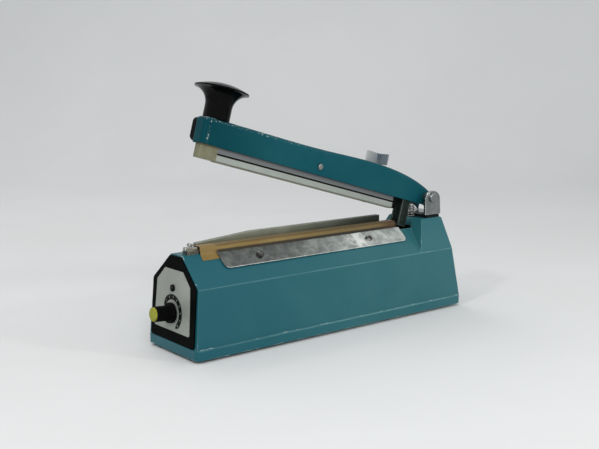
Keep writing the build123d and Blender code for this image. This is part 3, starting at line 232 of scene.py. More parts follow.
def makeGrainGroup():
    # fine grain stretched along an axis: peel in paint, brushing in metal
    group, entry, leave = newGroup(
        "fineGrain",
        [
            ("Stretch", vectorKind, (1.0, 1.0, 1.0)),
            ("Scale", floatKind, 900.0),
            ("Smoothest", floatKind, 0.3),
            ("Roughest", floatKind, 0.45),
        ],
        [("Height", floatKind), ("Roughness", floatKind)],
    )
    place = addNode(group, "ShaderNodeTexCoord")
    stretch = addNode(group, "ShaderNodeVectorMath", operation="MULTIPLY")
    group.links.new(place.outputs["Object"], stretch.inputs[0])
    group.links.new(entry.outputs["Stretch"], stretch.inputs[1])
    grain = addNode(group, "ShaderNodeTexNoise", Detail=3.0, Roughness=0.55)
    group.links.new(stretch.outputs[0], grain.inputs["Vector"])
    group.links.new(entry.outputs["Scale"], grain.inputs["Scale"])
    rough = addNode(group, "ShaderNodeMapRange")
    group.links.new(grain.outputs["Fac"], rough.inputs[0])
    for socket, value in zip(list(rough.inputs)[1:3], maskLook["roughRange"]):
        socket.default_value = value
    group.links.new(entry.outputs["Smoothest"], rough.inputs[3])
    group.links.new(entry.outputs["Roughest"], rough.inputs[4])
    group.links.new(grain.outputs["Fac"], leave.inputs["Height"])
    group.links.new(rough.outputs[0], leave.inputs["Roughness"])
    return group


def makeWeaveGroup():
    # over and under threads of a woven cloth, seen through its coating
    group, entry, leave = newGroup(
        "wovenThreads", [("Threads", floatKind, 700.0)], [("Height", floatKind), ("Gap", floatKind)]
    )
    place = addNode(group, "ShaderNodeTexCoord")
    split = addNode(group, "ShaderNodeSeparateXYZ")
    group.links.new(place.outputs["UV"], split.inputs[0])
    waves = []
    for axis in ("X", "Y"):
        turn = mathNode(group, "MULTIPLY", split.outputs[axis], entry.outputs["Threads"])
        waves.append(mathNode(group, "SINE", turn))
    lifted = mathNode(group, "ABSOLUTE", mathNode(group, "MULTIPLY", waves[0], waves[1]))
    group.links.new(lifted, leave.inputs["Height"])
    group.links.new(spread(group, lifted, 0.0, maskLook["threadGap"], 1.0, 0.0), leave.inputs["Gap"])
    return group


def makeBendGroup():
    # painted highlight: pale line where the sheet is bent along its length, on both sides of the part
    group, entry, leave = newGroup(
        "bendLine",
        [("Side", floatKind, 0.03), ("Level", floatKind, 0.05), ("Width", floatKind, 0.001)],
        [("Mask", floatKind)],
    )
    place = addNode(group, "ShaderNodeTexCoord")
    split = addNode(group, "ShaderNodeSeparateXYZ")
    group.links.new(place.outputs["Object"], split.inputs[0])
    sideways = mathNode(group, "ABSOLUTE", split.outputs["Y"])
    offSide = mathNode(group, "SUBTRACT", sideways, entry.outputs["Side"])
    offLevel = mathNode(group, "SUBTRACT", split.outputs["Z"], entry.outputs["Level"])
    squares = [mathNode(group, "MULTIPLY", off, off) for off in (offSide, offLevel)]
    away = mathNode(group, "SQRT", mathNode(group, "ADD", *squares))
    nearness = mathNode(
        group, "SUBTRACT", 1.0, mathNode(group, "DIVIDE", away, entry.outputs["Width"]), clamp=True
    )
    cloud = addNode(group, "ShaderNodeTexNoise", Scale=maskLook["bendScale"], Detail=4.0, Roughness=0.6)
    group.links.new(place.outputs["Object"], cloud.inputs["Vector"])
    kept = spread(group, cloud.outputs["Fac"], *maskLook["bendGate"], maskLook["bendLeast"], 1.0)
    group.links.new(mathNode(group, "MULTIPLY", nearness, kept), leave.inputs["Mask"])
    return group


def makeArmPlaceGroup():
    # distances from the hinge pin: along the open arm, above it, and to either side of its middle
    group, _, leave = newGroup(
        "armPlace", [], [("Along", floatKind), ("Above", floatKind), ("Aside", floatKind)]
    )
    forward = Vector(joints["cutter_slide"]["axis"]).normalized()
    upward = Vector((forward.z, 0.0, -forward.x))
    place = addNode(group, "ShaderNodeTexCoord")
    fromPin = addNode(group, "ShaderNodeVectorMath", operation="SUBTRACT")
    group.links.new(place.outputs["Object"], fromPin.inputs[0])
    fromPin.inputs[1].default_value = joints["arm_hinge"]["pos_m"]
    for label, direction in (("Along", forward), ("Above", upward)):
        dot = addNode(group, "ShaderNodeVectorMath", operation="DOT_PRODUCT")
        group.links.new(fromPin.outputs[0], dot.inputs[0])
        dot.inputs[1].default_value = direction
        group.links.new(dot.outputs["Value"], leave.inputs[label])
    split = addNode(group, "ShaderNodeSeparateXYZ")
    group.links.new(fromPin.outputs[0], split.inputs[0])
    group.links.new(mathNode(group, "ABSOLUTE", split.outputs["Y"]), leave.inputs["Aside"])
    return group


groups = {
    "edge": makeEdgeGroup(),
    "armPlace": makeArmPlaceGroup(),
    "bend": makeBendGroup(),
    "cloud": makeCloudGroup(),
    "grain": makeGrainGroup(),
    "weave": makeWeaveGroup(),
}
print("shader groups built:", len(groups))


def startMaterial(name):
    material = bpy.data.materials.new(name)
    material.use_nodes = True
    return material, material.node_tree, material.node_tree.nodes["Principled BSDF"]


def useGroup(tree, key, **values):
    node = tree.nodes.new("ShaderNodeGroup")
    node.node_tree = groups[key]
    for label, value in values.items():
        node.inputs[label].default_value = value
    return node


def addBump(tree, shader, height, strength, distance, normal=None):
    bump = addNode(tree, "ShaderNodeBump", Strength=strength, Distance=distance)
    tree.links.new(height, bump.inputs["Height"])
    if normal is not None:
        tree.links.new(normal, bump.inputs["Normal"])
    tree.links.new(bump.outputs[0], shader.inputs["Normal"])


def along(tree):
    # place on the part from front to rear
    place = addNode(tree, "ShaderNodeSeparateXYZ")
    tree.links.new(addNode(tree, "ShaderNodeTexCoord").outputs["Object"], place.inputs[0])
    return place.outputs["X"]


def armChips(tree, look):
    # flecks of bare metal on the front of the arm's top edge and on its nose
    place = useGroup(tree, "armPlace")
    flecks = addNode(tree, "ShaderNodeTexNoise", Scale=look["chipScale"], Detail=3.0)
    tree.links.new(addNode(tree, "ShaderNodeTexCoord").outputs["Object"], flecks.inputs["Vector"])
    onTop = spread(tree, flecks.outputs["Fac"], *look["armChips"])
    for label, reach in look["chipPlace"].items():
        onTop = mathNode(tree, "MULTIPLY", onTop, spread(tree, place.outputs[label], *reach))
    worn = spread(tree, flecks.outputs["Fac"], *look["foldChips"])
    onFold = mathNode(tree, "MULTIPLY", worn, between(tree, place.outputs["Along"], *look["fold"]))
    return mathNode(tree, "MAXIMUM", onTop, onFold)


def ribMask(tree, ribs):
    # painted shade of slanted ribs pressed into the lower band of the bar, drawn as dark stripes
    place = useGroup(tree, "armPlace")
    above = place.outputs["Above"]
    leaning = mathNode(tree, "MULTIPLY", above, ribs["lean"])
    slanted = mathNode(tree, "ADD", place.outputs["Along"], leaning)
    wave = mathNode(tree, "SINE", mathNode(tree, "MULTIPLY", slanted, 2 * math.pi / ribs["pitch"]))
    below = spread(tree, above, ribs["top"] - ribs["soft"], ribs["top"], ribs["share"], 0.0)
    return mathNode(tree, "MULTIPLY", spread(tree, wave, *ribs["crest"]), below)


plainLook = dict(  # what a finish has where its own dictionary is silent
    blotchLow=0.35, blotchHigh=0.7, breakScale=150.0, edgeBreak=0.4, stretch=(1.0, 1.0, 1.0),
    bends=[], bands=[], metallic=0.0, specular=0.5,
)


def finishMaterial(ownLook):
    # one general finish: blotched colour, edge line, grain and bump, each with its own values
    look = {**plainLook, **ownLook}
    material, tree, shader = startMaterial(look["name"])
    cloud = useGroup(
        tree, "cloud", Colour=(*look["colour"], 1.0), Blotch=(*look["blotch"], 1.0),
        Scale=look["blotchScale"], Low=look["blotchLow"], High=look["blotchHigh"],
    )
    edge = useGroup(
        tree, "edge", Width=look["edgeWidth"], Scale=look["breakScale"], Break=look["edgeBreak"]
    )
    grain = useGroup(
        tree, "grain", Stretch=look["stretch"], Scale=look["grainScale"],
        Smoothest=look["rough"][0], Roughest=look["rough"][1],
    )
    colour = cloud.outputs["Colour"]
    if "fade" in look:
        start, end, scale = look["fade"]
        colour = mixColours(tree, spread(tree, along(tree), start, end), colour, (*scale, 1.0), "MULTIPLY")
    strength = mathNode(tree, "MULTIPLY", edge.outputs["Mask"], look["edgeStrength"], clamp=True)
    if "litEdgeFacing" in look:  # painted highlight: only the edges turned this way get the edge line
        facing = addNode(tree, "ShaderNodeVectorMath", operation="DOT_PRODUCT")
        tree.links.new(edge.outputs["Normal"], facing.inputs[0])
        facing.inputs[1].default_value = look["litEdgeFacing"]
        turned = spread(tree, facing.outputs["Value"], *maskLook["edgeTurn"])
        strength = mathNode(tree, "MULTIPLY", strength, turned)
    frontShade = 1.0
    if "lineFade" in look:  # painted shade: the painted edge and bend highlights are fainter at the front
        start, end, least = look["lineFade"]
        frontShade = spread(tree, along(tree), start, end, least, 1.0)
        strength = mathNode(tree, "MULTIPLY", strength, frontShade)
    colour = mixColours(tree, strength, colour, (*look["edgeColour"], 1.0))
    for y, z, width in look["bends"]:
        bend = useGroup(tree, "bend", Side=y, Level=z, Width=width)
        line = mathNode(tree, "MULTIPLY", bend.outputs["Mask"], frontShade)
        colour = mixColours(tree, line, colour, (*look["bendColour"], 1.0))
    for low, high, tone in look["bands"]:
        above = useGroup(tree, "armPlace").outputs["Above"]
        colour = mixColours(tree, between(tree, above, low, high, look["bandSoft"]), colour, (*tone, 1.0))
    if "ribs" in look:
        colour = mixColours(tree, ribMask(tree, look["ribs"]), colour, (*look["ribColour"], 1.0))
    if "armChips" in look:
        colour = mixColours(tree, armChips(tree, look), colour, (*look["chipColour"], 1.0))
    if "chipWidth" in look:
        chips = useGroup(tree, "edge", Width=look["chipWidth"], Scale=look["chipScale"], Break=1.0)
        chipped = spread(tree, chips.outputs["Mask"], *look["chipGate"])
        colour = mixColours(tree, chipped, colour, (*look["chipColour"], 1.0))
    if "spot" in look:
        middle, reach = look["spot"]  # painted highlight patch
        away = mathNode(tree, "ABSOLUTE", mathNode(tree, "SUBTRACT", along(tree), middle))
        nearby = spread(tree, away, 0.0, reach, 1.0, 0.0)
        bright = mathNode(tree, "MULTIPLY", nearby, cloud.outputs["Value"])
        colour = mixColours(tree, bright, colour, (*look["spotColour"], 1.0))
    tree.links.new(colour, shader.inputs["Base Color"])
    tree.links.new(grain.outputs["Roughness"], shader.inputs["Roughness"])
    shader.inputs["Metallic"].default_value = look["metallic"]
    shader.inputs["Specular IOR Level"].default_value = look["specular"]
    addBump(tree, shader, grain.outputs["Height"], look["bump"], look["bumpDepth"], edge.outputs["Normal"])
    return material


# finishes: colours are linear, widths in metres, scales per metre
# fade: start, end and colour factor along the part; lineFade: start, end and least strength
# bends: distance to the side, height and width; bands: lower end, upper end and colour

# painted shade: the fade darkens the front of the housing; the edge and bend lines are painted highlights
tealBase = dict(
    name="tealEnamel", colour=(0.013, 0.112, 0.132), blotch=(0.024, 0.128, 0.147), blotchScale=9.0,
    edgeWidth=0.0009, edgeColour=(0.24, 0.44, 0.45), edgeStrength=0.8, edgeBreak=0.6, breakScale=45.0,
    chipWidth=0.0012, chipScale=95.0, chipGate=(0.80, 0.96), chipColour=(0.50, 0.60, 0.56),
    bends=[(0.0358, 0.0606, 0.0008), (0.0396, 0.0108, 0.0006)], bendColour=(0.15, 0.31, 0.32),
    fade=(0.05, -0.14, (0.40, 0.83, 0.90)), lineFade=(-0.15, 0.04, 0.35),
    grainScale=700.0, rough=(0.30, 0.42), bump=0.10, bumpDepth=0.0004, specular=0.3,
)
# painted shade: the fade darkens the front of the arm; the edge line on the edges facing up is a painted
# highlight
tealArm = dict(
    name="tealArmEnamel", colour=(0.004, 0.070, 0.090), blotch=(0.010, 0.084, 0.102), blotchScale=11.0,
    edgeWidth=0.0016, edgeColour=(0.30, 0.42, 0.42), edgeStrength=0.9, edgeBreak=0.5, breakScale=60.0,
    litEdgeFacing=(0.25, 0.0, 0.95), fade=(-0.02, -0.13, (0.15, 0.62, 0.63)),
    armChips=(0.58, 0.65), chipScale=800.0, chipColour=(0.42, 0.50, 0.46),
    chipPlace=dict(Above=(0.0118, 0.0132), Along=(0.12, 0.25), Aside=(0.0052, 0.0062)),
    foldChips=(0.50, 0.62), fold=(0.2688, 0.2712, 0.0006),
    grainScale=700.0, rough=(0.26, 0.40), bump=0.10, bumpDepth=0.0004, specular=0.05,
)
# painted light: the fade makes the sheet darker at the front and brighter towards the rear, the patch is a
# painted highlight, and the edges facing down and towards the near side carry a painted highlight
galvanised = dict(
    name="galvanisedSheet", colour=(0.105, 0.115, 0.110), blotch=(0.20, 0.215, 0.205), blotchScale=110.0,
    blotchLow=0.36, blotchHigh=0.70, edgeWidth=0.0009, edgeColour=(0.88, 0.90, 0.89), edgeStrength=1.0,
    edgeBreak=0.2, grainScale=260.0, rough=(0.28, 0.46), bump=0.08, bumpDepth=0.0003, metallic=0.9,
    fade=(-0.07, 0.085, (3.4, 3.4, 3.4)), litEdgeFacing=(0.35, -0.70, -0.60),
    spot=(0.046, 0.022), spotColour=(0.95, 0.97, 0.95),
)
platedScrew = dict(
    name="platedScrews", colour=(0.26, 0.26, 0.25), blotch=(0.40, 0.40, 0.38), blotchScale=300.0,
    edgeWidth=0.0003, edgeColour=(0.7, 0.7, 0.68), edgeStrength=0.5, grainScale=1500.0, rough=(0.22, 0.36),
    bump=0.1, bumpDepth=0.0001, metallic=0.95,
)
# painted shade ring at the screw edges, and painted glints in the bright blotches
clampScrew = dict(
    name="dullScrews", colour=(0.055, 0.054, 0.050), blotch=(0.38, 0.385, 0.375), blotchScale=260.0,
    blotchLow=0.42, blotchHigh=0.68, edgeWidth=0.0004, edgeColour=(0.02, 0.02, 0.02), edgeStrength=0.9,
    grainScale=1500.0, rough=(0.18, 0.30), bump=0.1, bumpDepth=0.0001, metallic=0.95,
)
brightPlate = dict(
    name="brightPlate", colour=(0.19, 0.205, 0.205), blotch=(0.28, 0.295, 0.29), blotchScale=70.0,
    edgeWidth=0.0007, edgeColour=(0.90, 0.92, 0.91), edgeStrength=0.9, grainScale=300.0, rough=(0.20, 0.30),
    bump=0.015, bumpDepth=0.0002, metallic=1.0,
)
tabPlate = dict(
    name="foldedTab", colour=(0.40, 0.42, 0.415), blotch=(0.46, 0.48, 0.475), blotchScale=40.0,
    edgeWidth=0.0005, edgeColour=(0.6, 0.62, 0.62), edgeStrength=0.5, grainScale=500.0, rough=(0.34, 0.44),
    fade=(0.0915, 0.0928, (0.40, 0.46, 0.54)), bump=0.02, bumpDepth=0.0001, metallic=0.85,
)
guideMetal = dict(
    name="tarnishedGuide", colour=(0.20, 0.215, 0.16), blotch=(0.27, 0.285, 0.225), blotchScale=25.0,
    edgeWidth=0.0006, edgeColour=(0.50, 0.52, 0.46), edgeStrength=0.8, grainScale=900.0,
    fade=(-0.06, 0.095, (0.17, 0.19, 0.20)),
    stretch=(0.04, 1.0, 1.0), rough=(0.34, 0.50), bump=0.12, bumpDepth=0.0002, metallic=0.7,
)
barMetal = dict(
    name="ridgedBar", colour=(0.39, 0.425, 0.385), blotch=(0.46, 0.50, 0.455), blotchScale=25.0,
    # the black first band is painted shade in the groove above the ribs
    bands=[(-0.0142, -0.0122, (0.004, 0.004, 0.004)), (-0.0122, -0.0060, (0.15, 0.16, 0.165))],
    # ribColour and ribs paint the shade of the pressed ribs as dark stripes
    bandSoft=0.0002, ribColour=(0.17, 0.18, 0.17),
    ribs=dict(pitch=0.0026, lean=0.8, top=-0.0142, soft=0.0003, crest=(-0.4, 0.6), share=0.8),
    edgeWidth=0.0004, edgeColour=(0.62, 0.63, 0.60), edgeStrength=0.5, grainScale=800.0,
    stretch=(1.0, 0.03, 0.03), rough=(0.30, 0.50), bump=0.35, bumpDepth=0.0003, metallic=0.7,
)
blackPanel = dict(
    name="blackPanel", colour=(0.0015, 0.0018, 0.0018), blotch=(0.003, 0.0034, 0.0034), blotchScale=30.0,
    edgeWidth=0.0005, edgeColour=(0.012, 0.014, 0.014), edgeStrength=0.6, grainScale=1600.0,
    rough=(0.38, 0.55), bump=0.2, bumpDepth=0.0001, specular=0.015,
)
dialFace = dict(
    name="satinDial", colour=(0.26, 0.28, 0.25), blotch=(0.32, 0.335, 0.30), blotchScale=30.0,
    edgeWidth=0.0004, edgeColour=(0.45, 0.46, 0.42), edgeStrength=0.4, grainScale=1200.0,
    stretch=(1.0, 0.05, 1.0), rough=(0.38, 0.52), bump=0.08, bumpDepth=0.0001, metallic=0.25,
)
blackGloss = dict(
    name="polishedBlack", colour=(0.0012, 0.0012, 0.0015), blotch=(0.0025, 0.0025, 0.003), blotchScale=40.0,
    edgeWidth=0.0003, edgeColour=(0.006, 0.006, 0.006), edgeStrength=0.4, grainScale=500.0,
    rough=(0.05, 0.08), bump=0.01, bumpDepth=0.0002, specular=0.065,
)
blackMoulded = dict(
    name="mouldedBlack", colour=(0.0022, 0.0022, 0.0025), blotch=(0.004, 0.004, 0.0045), blotchScale=60.0,
    edgeWidth=0.0004, edgeColour=(0.018, 0.018, 0.019), edgeStrength=0.5, grainScale=1800.0,
    rough=(0.40, 0.56), bump=0.25, bumpDepth=0.0001, specular=0.04,
)
yellowCap = dict(
    name="yellowCap", colour=(0.31, 0.31, 0.030), blotch=(0.24, 0.25, 0.020), blotchScale=150.0,
    edgeWidth=0.0004, edgeColour=(0.46, 0.46, 0.09), edgeStrength=0.5, grainScale=1200.0,
    rough=(0.40, 0.55), bump=0.12, bumpDepth=0.0001, specular=0.2,
)
creamBlock = dict(
    name="creamBlock", colour=(0.185, 0.18, 0.110), blotch=(0.110, 0.105, 0.064), blotchScale=70.0,
    edgeWidth=0.0006, edgeColour=(0.50, 0.50, 0.36), edgeStrength=0.5, grainScale=900.0,
    rough=(0.45, 0.6), bump=0.15, bumpDepth=0.0002, specular=0.25,
)
silicone = dict(
    name="paleSilicone", colour=(0.24, 0.235, 0.18), blotch=(0.19, 0.185, 0.14), blotchScale=40.0,
    edgeWidth=0.0005, edgeColour=(0.34, 0.34, 0.28), edgeStrength=0.4, grainScale=1100.0,
    rough=(0.5, 0.66), bump=0.15, bumpDepth=0.0002, specular=0.2,
)
brownBed = dict(
    name="brownLaminate", colour=(0.13, 0.075, 0.030), blotch=(0.17, 0.10, 0.045), blotchScale=80.0,
    edgeWidth=0.0004, edgeColour=(0.24, 0.17, 0.09), edgeStrength=0.4, grainScale=900.0,
    rough=(0.5, 0.65), bump=0.15, bumpDepth=0.0002, specular=0.2,
)
darkSteel = dict(
    name="darkStriker", colour=(0.005, 0.009, 0.007), blotch=(0.020, 0.034, 0.027), blotchScale=90.0,
    edgeWidth=0.0006, edgeColour=(0.40, 0.44, 0.40), edgeStrength=0.8, grainScale=600.0, rough=(0.35, 0.5),
    bump=0.12, bumpDepth=0.0002, specular=0.12,
)
softRubber = dict(
    name="softRubber", colour=(0.003, 0.0035, 0.0035), blotch=(0.006, 0.006, 0.006), blotchScale=60.0,
    edgeWidth=0.0004, edgeColour=(0.012, 0.012, 0.012), edgeStrength=0.4, grainScale=1500.0,
    rough=(0.6, 0.75), bump=0.25, bumpDepth=0.0001, specular=0.12,
)
darkTerminal = dict(
    name="darkTerminal", colour=(0.020, 0.021, 0.017), blotch=(0.11, 0.11, 0.085), blotchScale=420.0,
    edgeWidth=0.0006, edgeColour=(0.50, 0.51, 0.40), edgeStrength=0.8, edgeBreak=0.7, breakScale=500.0,
    grainScale=1200.0, rough=(0.35, 0.5), bump=0.12, bumpDepth=0.0001, specular=0.3,
)
agedClip = dict(
    name="agedClip", colour=(0.060, 0.052, 0.036), blotch=(0.30, 0.28, 0.20), blotchScale=420.0,
    edgeWidth=0.0004, edgeColour=(0.75, 0.73, 0.60), edgeStrength=0.8, edgeBreak=0.7, breakScale=500.0,
    grainScale=1300.0, rough=(0.3, 0.45), bump=0.1, bumpDepth=0.0001, metallic=0.7,
)
springWire = dict(
    name="springWire", colour=(0.30, 0.30, 0.28), blotch=(0.40, 0.40, 0.38), blotchScale=200.0,
    edgeWidth=0.0002, edgeColour=(0.6, 0.6, 0.58), edgeStrength=0.3, grainScale=1500.0, rough=(0.25, 0.38),
    bump=0.08, bumpDepth=0.0001, metallic=0.95,
)
brassTurned = dict(
    name="turnedBrass", colour=(0.46, 0.34, 0.15), blotch=(0.38, 0.27, 0.12), blotchScale=120.0,
    edgeWidth=0.0003, edgeColour=(0.7, 0.58, 0.33), edgeStrength=0.5, grainScale=1300.0, rough=(0.25, 0.4),
    bump=0.1, bumpDepth=0.0001, metallic=0.95,
)
greenBoard = dict(
    name="greenBoard", colour=(0.02, 0.13, 0.05), blotch=(0.03, 0.16, 0.06), blotchScale=120.0,
    edgeWidth=0.0003, edgeColour=(0.2, 0.25, 0.12), edgeStrength=0.5, grainScale=1300.0, rough=(0.3, 0.45),
    bump=0.1, bumpDepth=0.0001,
)
copperTape = dict(
    name="tapedCoil", colour=(0.40, 0.17, 0.05), blotch=(0.48, 0.23, 0.08), blotchScale=90.0,
    edgeWidth=0.0005, edgeColour=(0.6, 0.4, 0.2), edgeStrength=0.4, grainScale=700.0,
    stretch=(1.0, 1.0, 0.05), rough=(0.4, 0.55), bump=0.3, bumpDepth=0.0003,
)
redButton = dict(
    name="redButton", colour=(0.32, 0.015, 0.012), blotch=(0.26, 0.012, 0.010), blotchScale=200.0,
    edgeWidth=0.0003, edgeColour=(0.45, 0.08, 0.07), edgeStrength=0.4, grainScale=1500.0, rough=(0.35, 0.5),
    bump=0.1, bumpDepth=0.0001,
)
darkLens = dict(
    name="darkLens", colour=(0.004, 0.0016, 0.0016), blotch=(0.008, 0.003, 0.003), blotchScale=200.0,
    edgeWidth=0.0003, edgeColour=(0.02, 0.01, 0.01), edgeStrength=0.3, grainScale=900.0, rough=(0.10, 0.18),
    bump=0.03, bumpDepth=0.0001, specular=0.2,
)
paleInk = dict(
    name="palePrint", colour=(0.34, 0.36, 0.32), blotch=(0.28, 0.30, 0.27), blotchScale=200.0,
    edgeWidth=0.0001, edgeColour=(0.4, 0.4, 0.37), edgeStrength=0.2, grainScale=1500.0, rough=(0.5, 0.6),
    bump=0.05, bumpDepth=0.00005, specular=0.2,
)
blackInk = dict(
    name="blackPrint", colour=(0.0018, 0.0018, 0.0018), blotch=(0.003, 0.003, 0.003), blotchScale=200.0,
    edgeWidth=0.0001, edgeColour=(0.01, 0.01, 0.01), edgeStrength=0.2, grainScale=1500.0,
    rough=(0.45, 0.55), bump=0.05, bumpDepth=0.00005, specular=0.08,
)

wearing = [
    (tealBase, ["base_housing"]),
    (tealArm, ["arm_channel"]),
    (galvanised, ["clamp_plate", "bottom_plate", "transformer_strap", "switch_bracket"]),
    (platedScrew, [
        "bottom_plate_screws", "transformer_screws", "terminal_screws", "guide_rail_screws",
        "bracket_screws", "handle_screw", "cutter_rail_screws", "switch_screws", "blade_rivets",
        "potentiometer_nut", "hinge_sleeve", "hinge_spacers", "pin_clip", "timer_potentiometer",
        "heating_element",
    ]),
    (brightPlate, ["hinge_bracket", "hinge_pin", "press_bar_pin", "cutter_blade"]),
    (clampScrew, ["clamp_screws"]),
    (tabPlate, ["thumb_tab"]),
    (guideMetal, ["cutter_guide_rail"]),
    (barMetal, ["press_bar"]),
    (darkTerminal, ["terminal_blocks"]),
    (blackPanel, ["front_panel"]),
    (dialFace, ["dial_plate"]),
    (blackGloss, ["arm_handle"]),
    (blackMoulded, [
        "timer_knob", "lamp_bezel", "cutter_rail", "cutter_carriage", "micro_switch",
        "board_components", "rear_end_block",
    ]),
    (yellowCap, ["knob_cap"]),
    (creamBlock, ["front_end_block"]),
    (silicone, ["silicone_strip"]),
    (brownBed, ["element_bed"]),
    (darkSteel, ["striker_bracket", "transformer_core"]),
    (softRubber, ["rubber_feet", "bracket_pad", "cord_gland"]),
    (brassTurned, ["timer_shaft"]),
    (agedClip, ["terminal_clips"]),
    (greenBoard, ["timer_board"]),
    (copperTape, ["transformer_coil"]),
    (redButton, ["switch_button"]),
    (darkLens, ["indicator_lamp"]),
]
finishes = {}
for look, wearers in wearing:
    finishes[look["name"]] = finishMaterial(look)
    for wearer in wearers:
        nodes[wearer].data.materials.clear()
        nodes[wearer].data.materials.append(finishes[look["name"]])
for look in (springWire, paleInk, blackInk):
    finishes[look["name"]] = finishMaterial(look)
print("finishes made:", len(finishes))


# coated cloth over the heating strip

clothLook = dict(
    thickness=0.00030, rows=54, columns=200, corner=0.0009, cornerSteps=6,
    # path from under the clamp plate up the slope, over the ridge and down to the rail
    lift=0.00012, topGap=0.00005, slopeRise=0.0238, slopeRun=0.0274, slopeEdge=-0.0090,
    underClamp=0.0077, leaveSlope=0.0014, ridgeGap=0.0002, railGap=0.0006, underRail=0.0030,
    # waves by the ridge and at both ends; each noise has two scales and a seed
    ripple=0.00022, rippleWay=(0.0, -0.5, 0.5), rippleNoise=(70.0, 5.0, 3.1),
    looseFrom=0.28, looseSpan=0.12, edgeRipple=0.0006, edgeNoise=(9.0, 2.0, 8.4), edgePower=9,
    # woven finish, darker towards the rear and darkest at that end
    colour=(0.215, 0.140, 0.040), blotch=(0.270, 0.185, 0.062), blotchScale=35.0,
    blotchLow=0.3, blotchHigh=0.75, threads=5200.0, gapColour=(0.13, 0.08, 0.022), gapShare=0.35,
    stretch=(0.15, 1.0, 1.0), grainScale=500.0, rough=(0.34, 0.52), specular=0.25,
    bump=0.25, bumpDepth=0.00006, darkerRearPart=(0.2, 0.8), darkerRearScale=(0.68, 0.72, 0.85),
    darkestRearEnd=(0.030, 0.004), darkestRearColour=(0.060, 0.028, 0.010), darkestRearShare=0.8,
    shadeAndDarkStart=(0.013, 0.019),
    shadeAndDarkBands=[  # from, to, softness, colour and strength, measured across the flat cloth
        # painted shade along the fold above the clamp plate and on the lower flank of the ridge
        (0.0056, 0.0096, 0.0010, (0.016, 0.014, 0.008), 0.92),
        # darker band over the upper flank and the top of the ridge
        (0.0112, 0.0225, 0.0012, (0.100, 0.062, 0.014), 0.70),
    ],
)


def makeClothMaterial(look, length):
    material, tree, shader = startMaterial("coatedCloth")
    cloud = useGroup(
        tree, "cloud", Colour=(*look["colour"], 1.0), Blotch=(*look["blotch"], 1.0),
        Scale=look["blotchScale"], Low=look["blotchLow"], High=look["blotchHigh"],
    )
    weave = useGroup(tree, "weave", Threads=look["threads"])
    grain = useGroup(
        tree, "grain", Stretch=look["stretch"], Scale=look["grainScale"],
        Smoothest=look["rough"][0], Roughest=look["rough"][1],
    )
    gaps = mathNode(tree, "MULTIPLY", weave.outputs["Gap"], look["gapShare"])
    darker = mixColours(tree, gaps, cloud.outputs["Colour"], (*look["gapColour"], 1.0))
    flat = addNode(tree, "ShaderNodeSeparateXYZ")
    tree.links.new(addNode(tree, "ShaderNodeTexCoord").outputs["UV"], flat.inputs[0])
    lengthwise, across = flat.outputs["X"], flat.outputs["Y"]
    shadeAndDarkBegun = spread(tree, lengthwise, *look["shadeAndDarkStart"])
    for low, high, soft, tone, share in look["shadeAndDarkBands"]:
        shadeAndDarkMask = mathNode(tree, "MULTIPLY", between(tree, across, low, high, soft), shadeAndDarkBegun)
        darker = mixColours(tree, mathNode(tree, "MULTIPLY", shadeAndDarkMask, share), darker, (*tone, 1.0))
    darkerRearMask = spread(tree, lengthwise, *(part * length for part in look["darkerRearPart"]))
    darker = mixColours(tree, darkerRearMask, darker, (*look["darkerRearScale"], 1.0), "MULTIPLY")
    darkestRearMask = spread(tree, lengthwise, *(length - back for back in look["darkestRearEnd"]), 0.0, look["darkestRearShare"])
    darker = mixColours(tree, darkestRearMask, darker, (*look["darkestRearColour"], 1.0))
    tree.links.new(darker, shader.inputs["Base Color"])
    tree.links.new(grain.outputs["Roughness"], shader.inputs["Roughness"])
    shader.inputs["Specular IOR Level"].default_value = look["specular"]
    addBump(tree, shader, weave.outputs["Height"], look["bump"], look["bumpDepth"])
    return material


def roundedPath(corners, radius, steps):
    # polyline with each inner corner replaced by a short curve
    mostOfSide = 0.45  # share of a side that one curve may take
    points = [corners[0]]
    for before, corner, after in zip(corners, corners[1:], corners[2:]):
        back = (before - corner).normalized() * min(radius, (before - corner).length * mostOfSide)
        ahead = (after - corner).normalized() * min(radius, (after - corner).length * mostOfSide)
        for step in range(steps + 1):
            t = step / steps
            points.append(corner + back * (1 - t) ** 2 + ahead * t ** 2)
    points.append(corners[-1])
    return points


def resample(points, count):
    lengths = [0.0]
    for a, b in zip(points, points[1:]):
        lengths.append(lengths[-1] + (b - a).length)
    result = []
    index = 0
    for step in range(count):
        target = lengths[-1] * step / (count - 1)
        while index < len(points) - 2 and lengths[index + 1] < target:
            index += 1
        span = lengths[index + 1] - lengths[index]
        share = 0.0 if span == 0 else (target - lengths[index]) / span
        result.append(points[index].lerp(points[index + 1], min(max(share, 0.0), 1.0)))
    return result, lengths[-1]


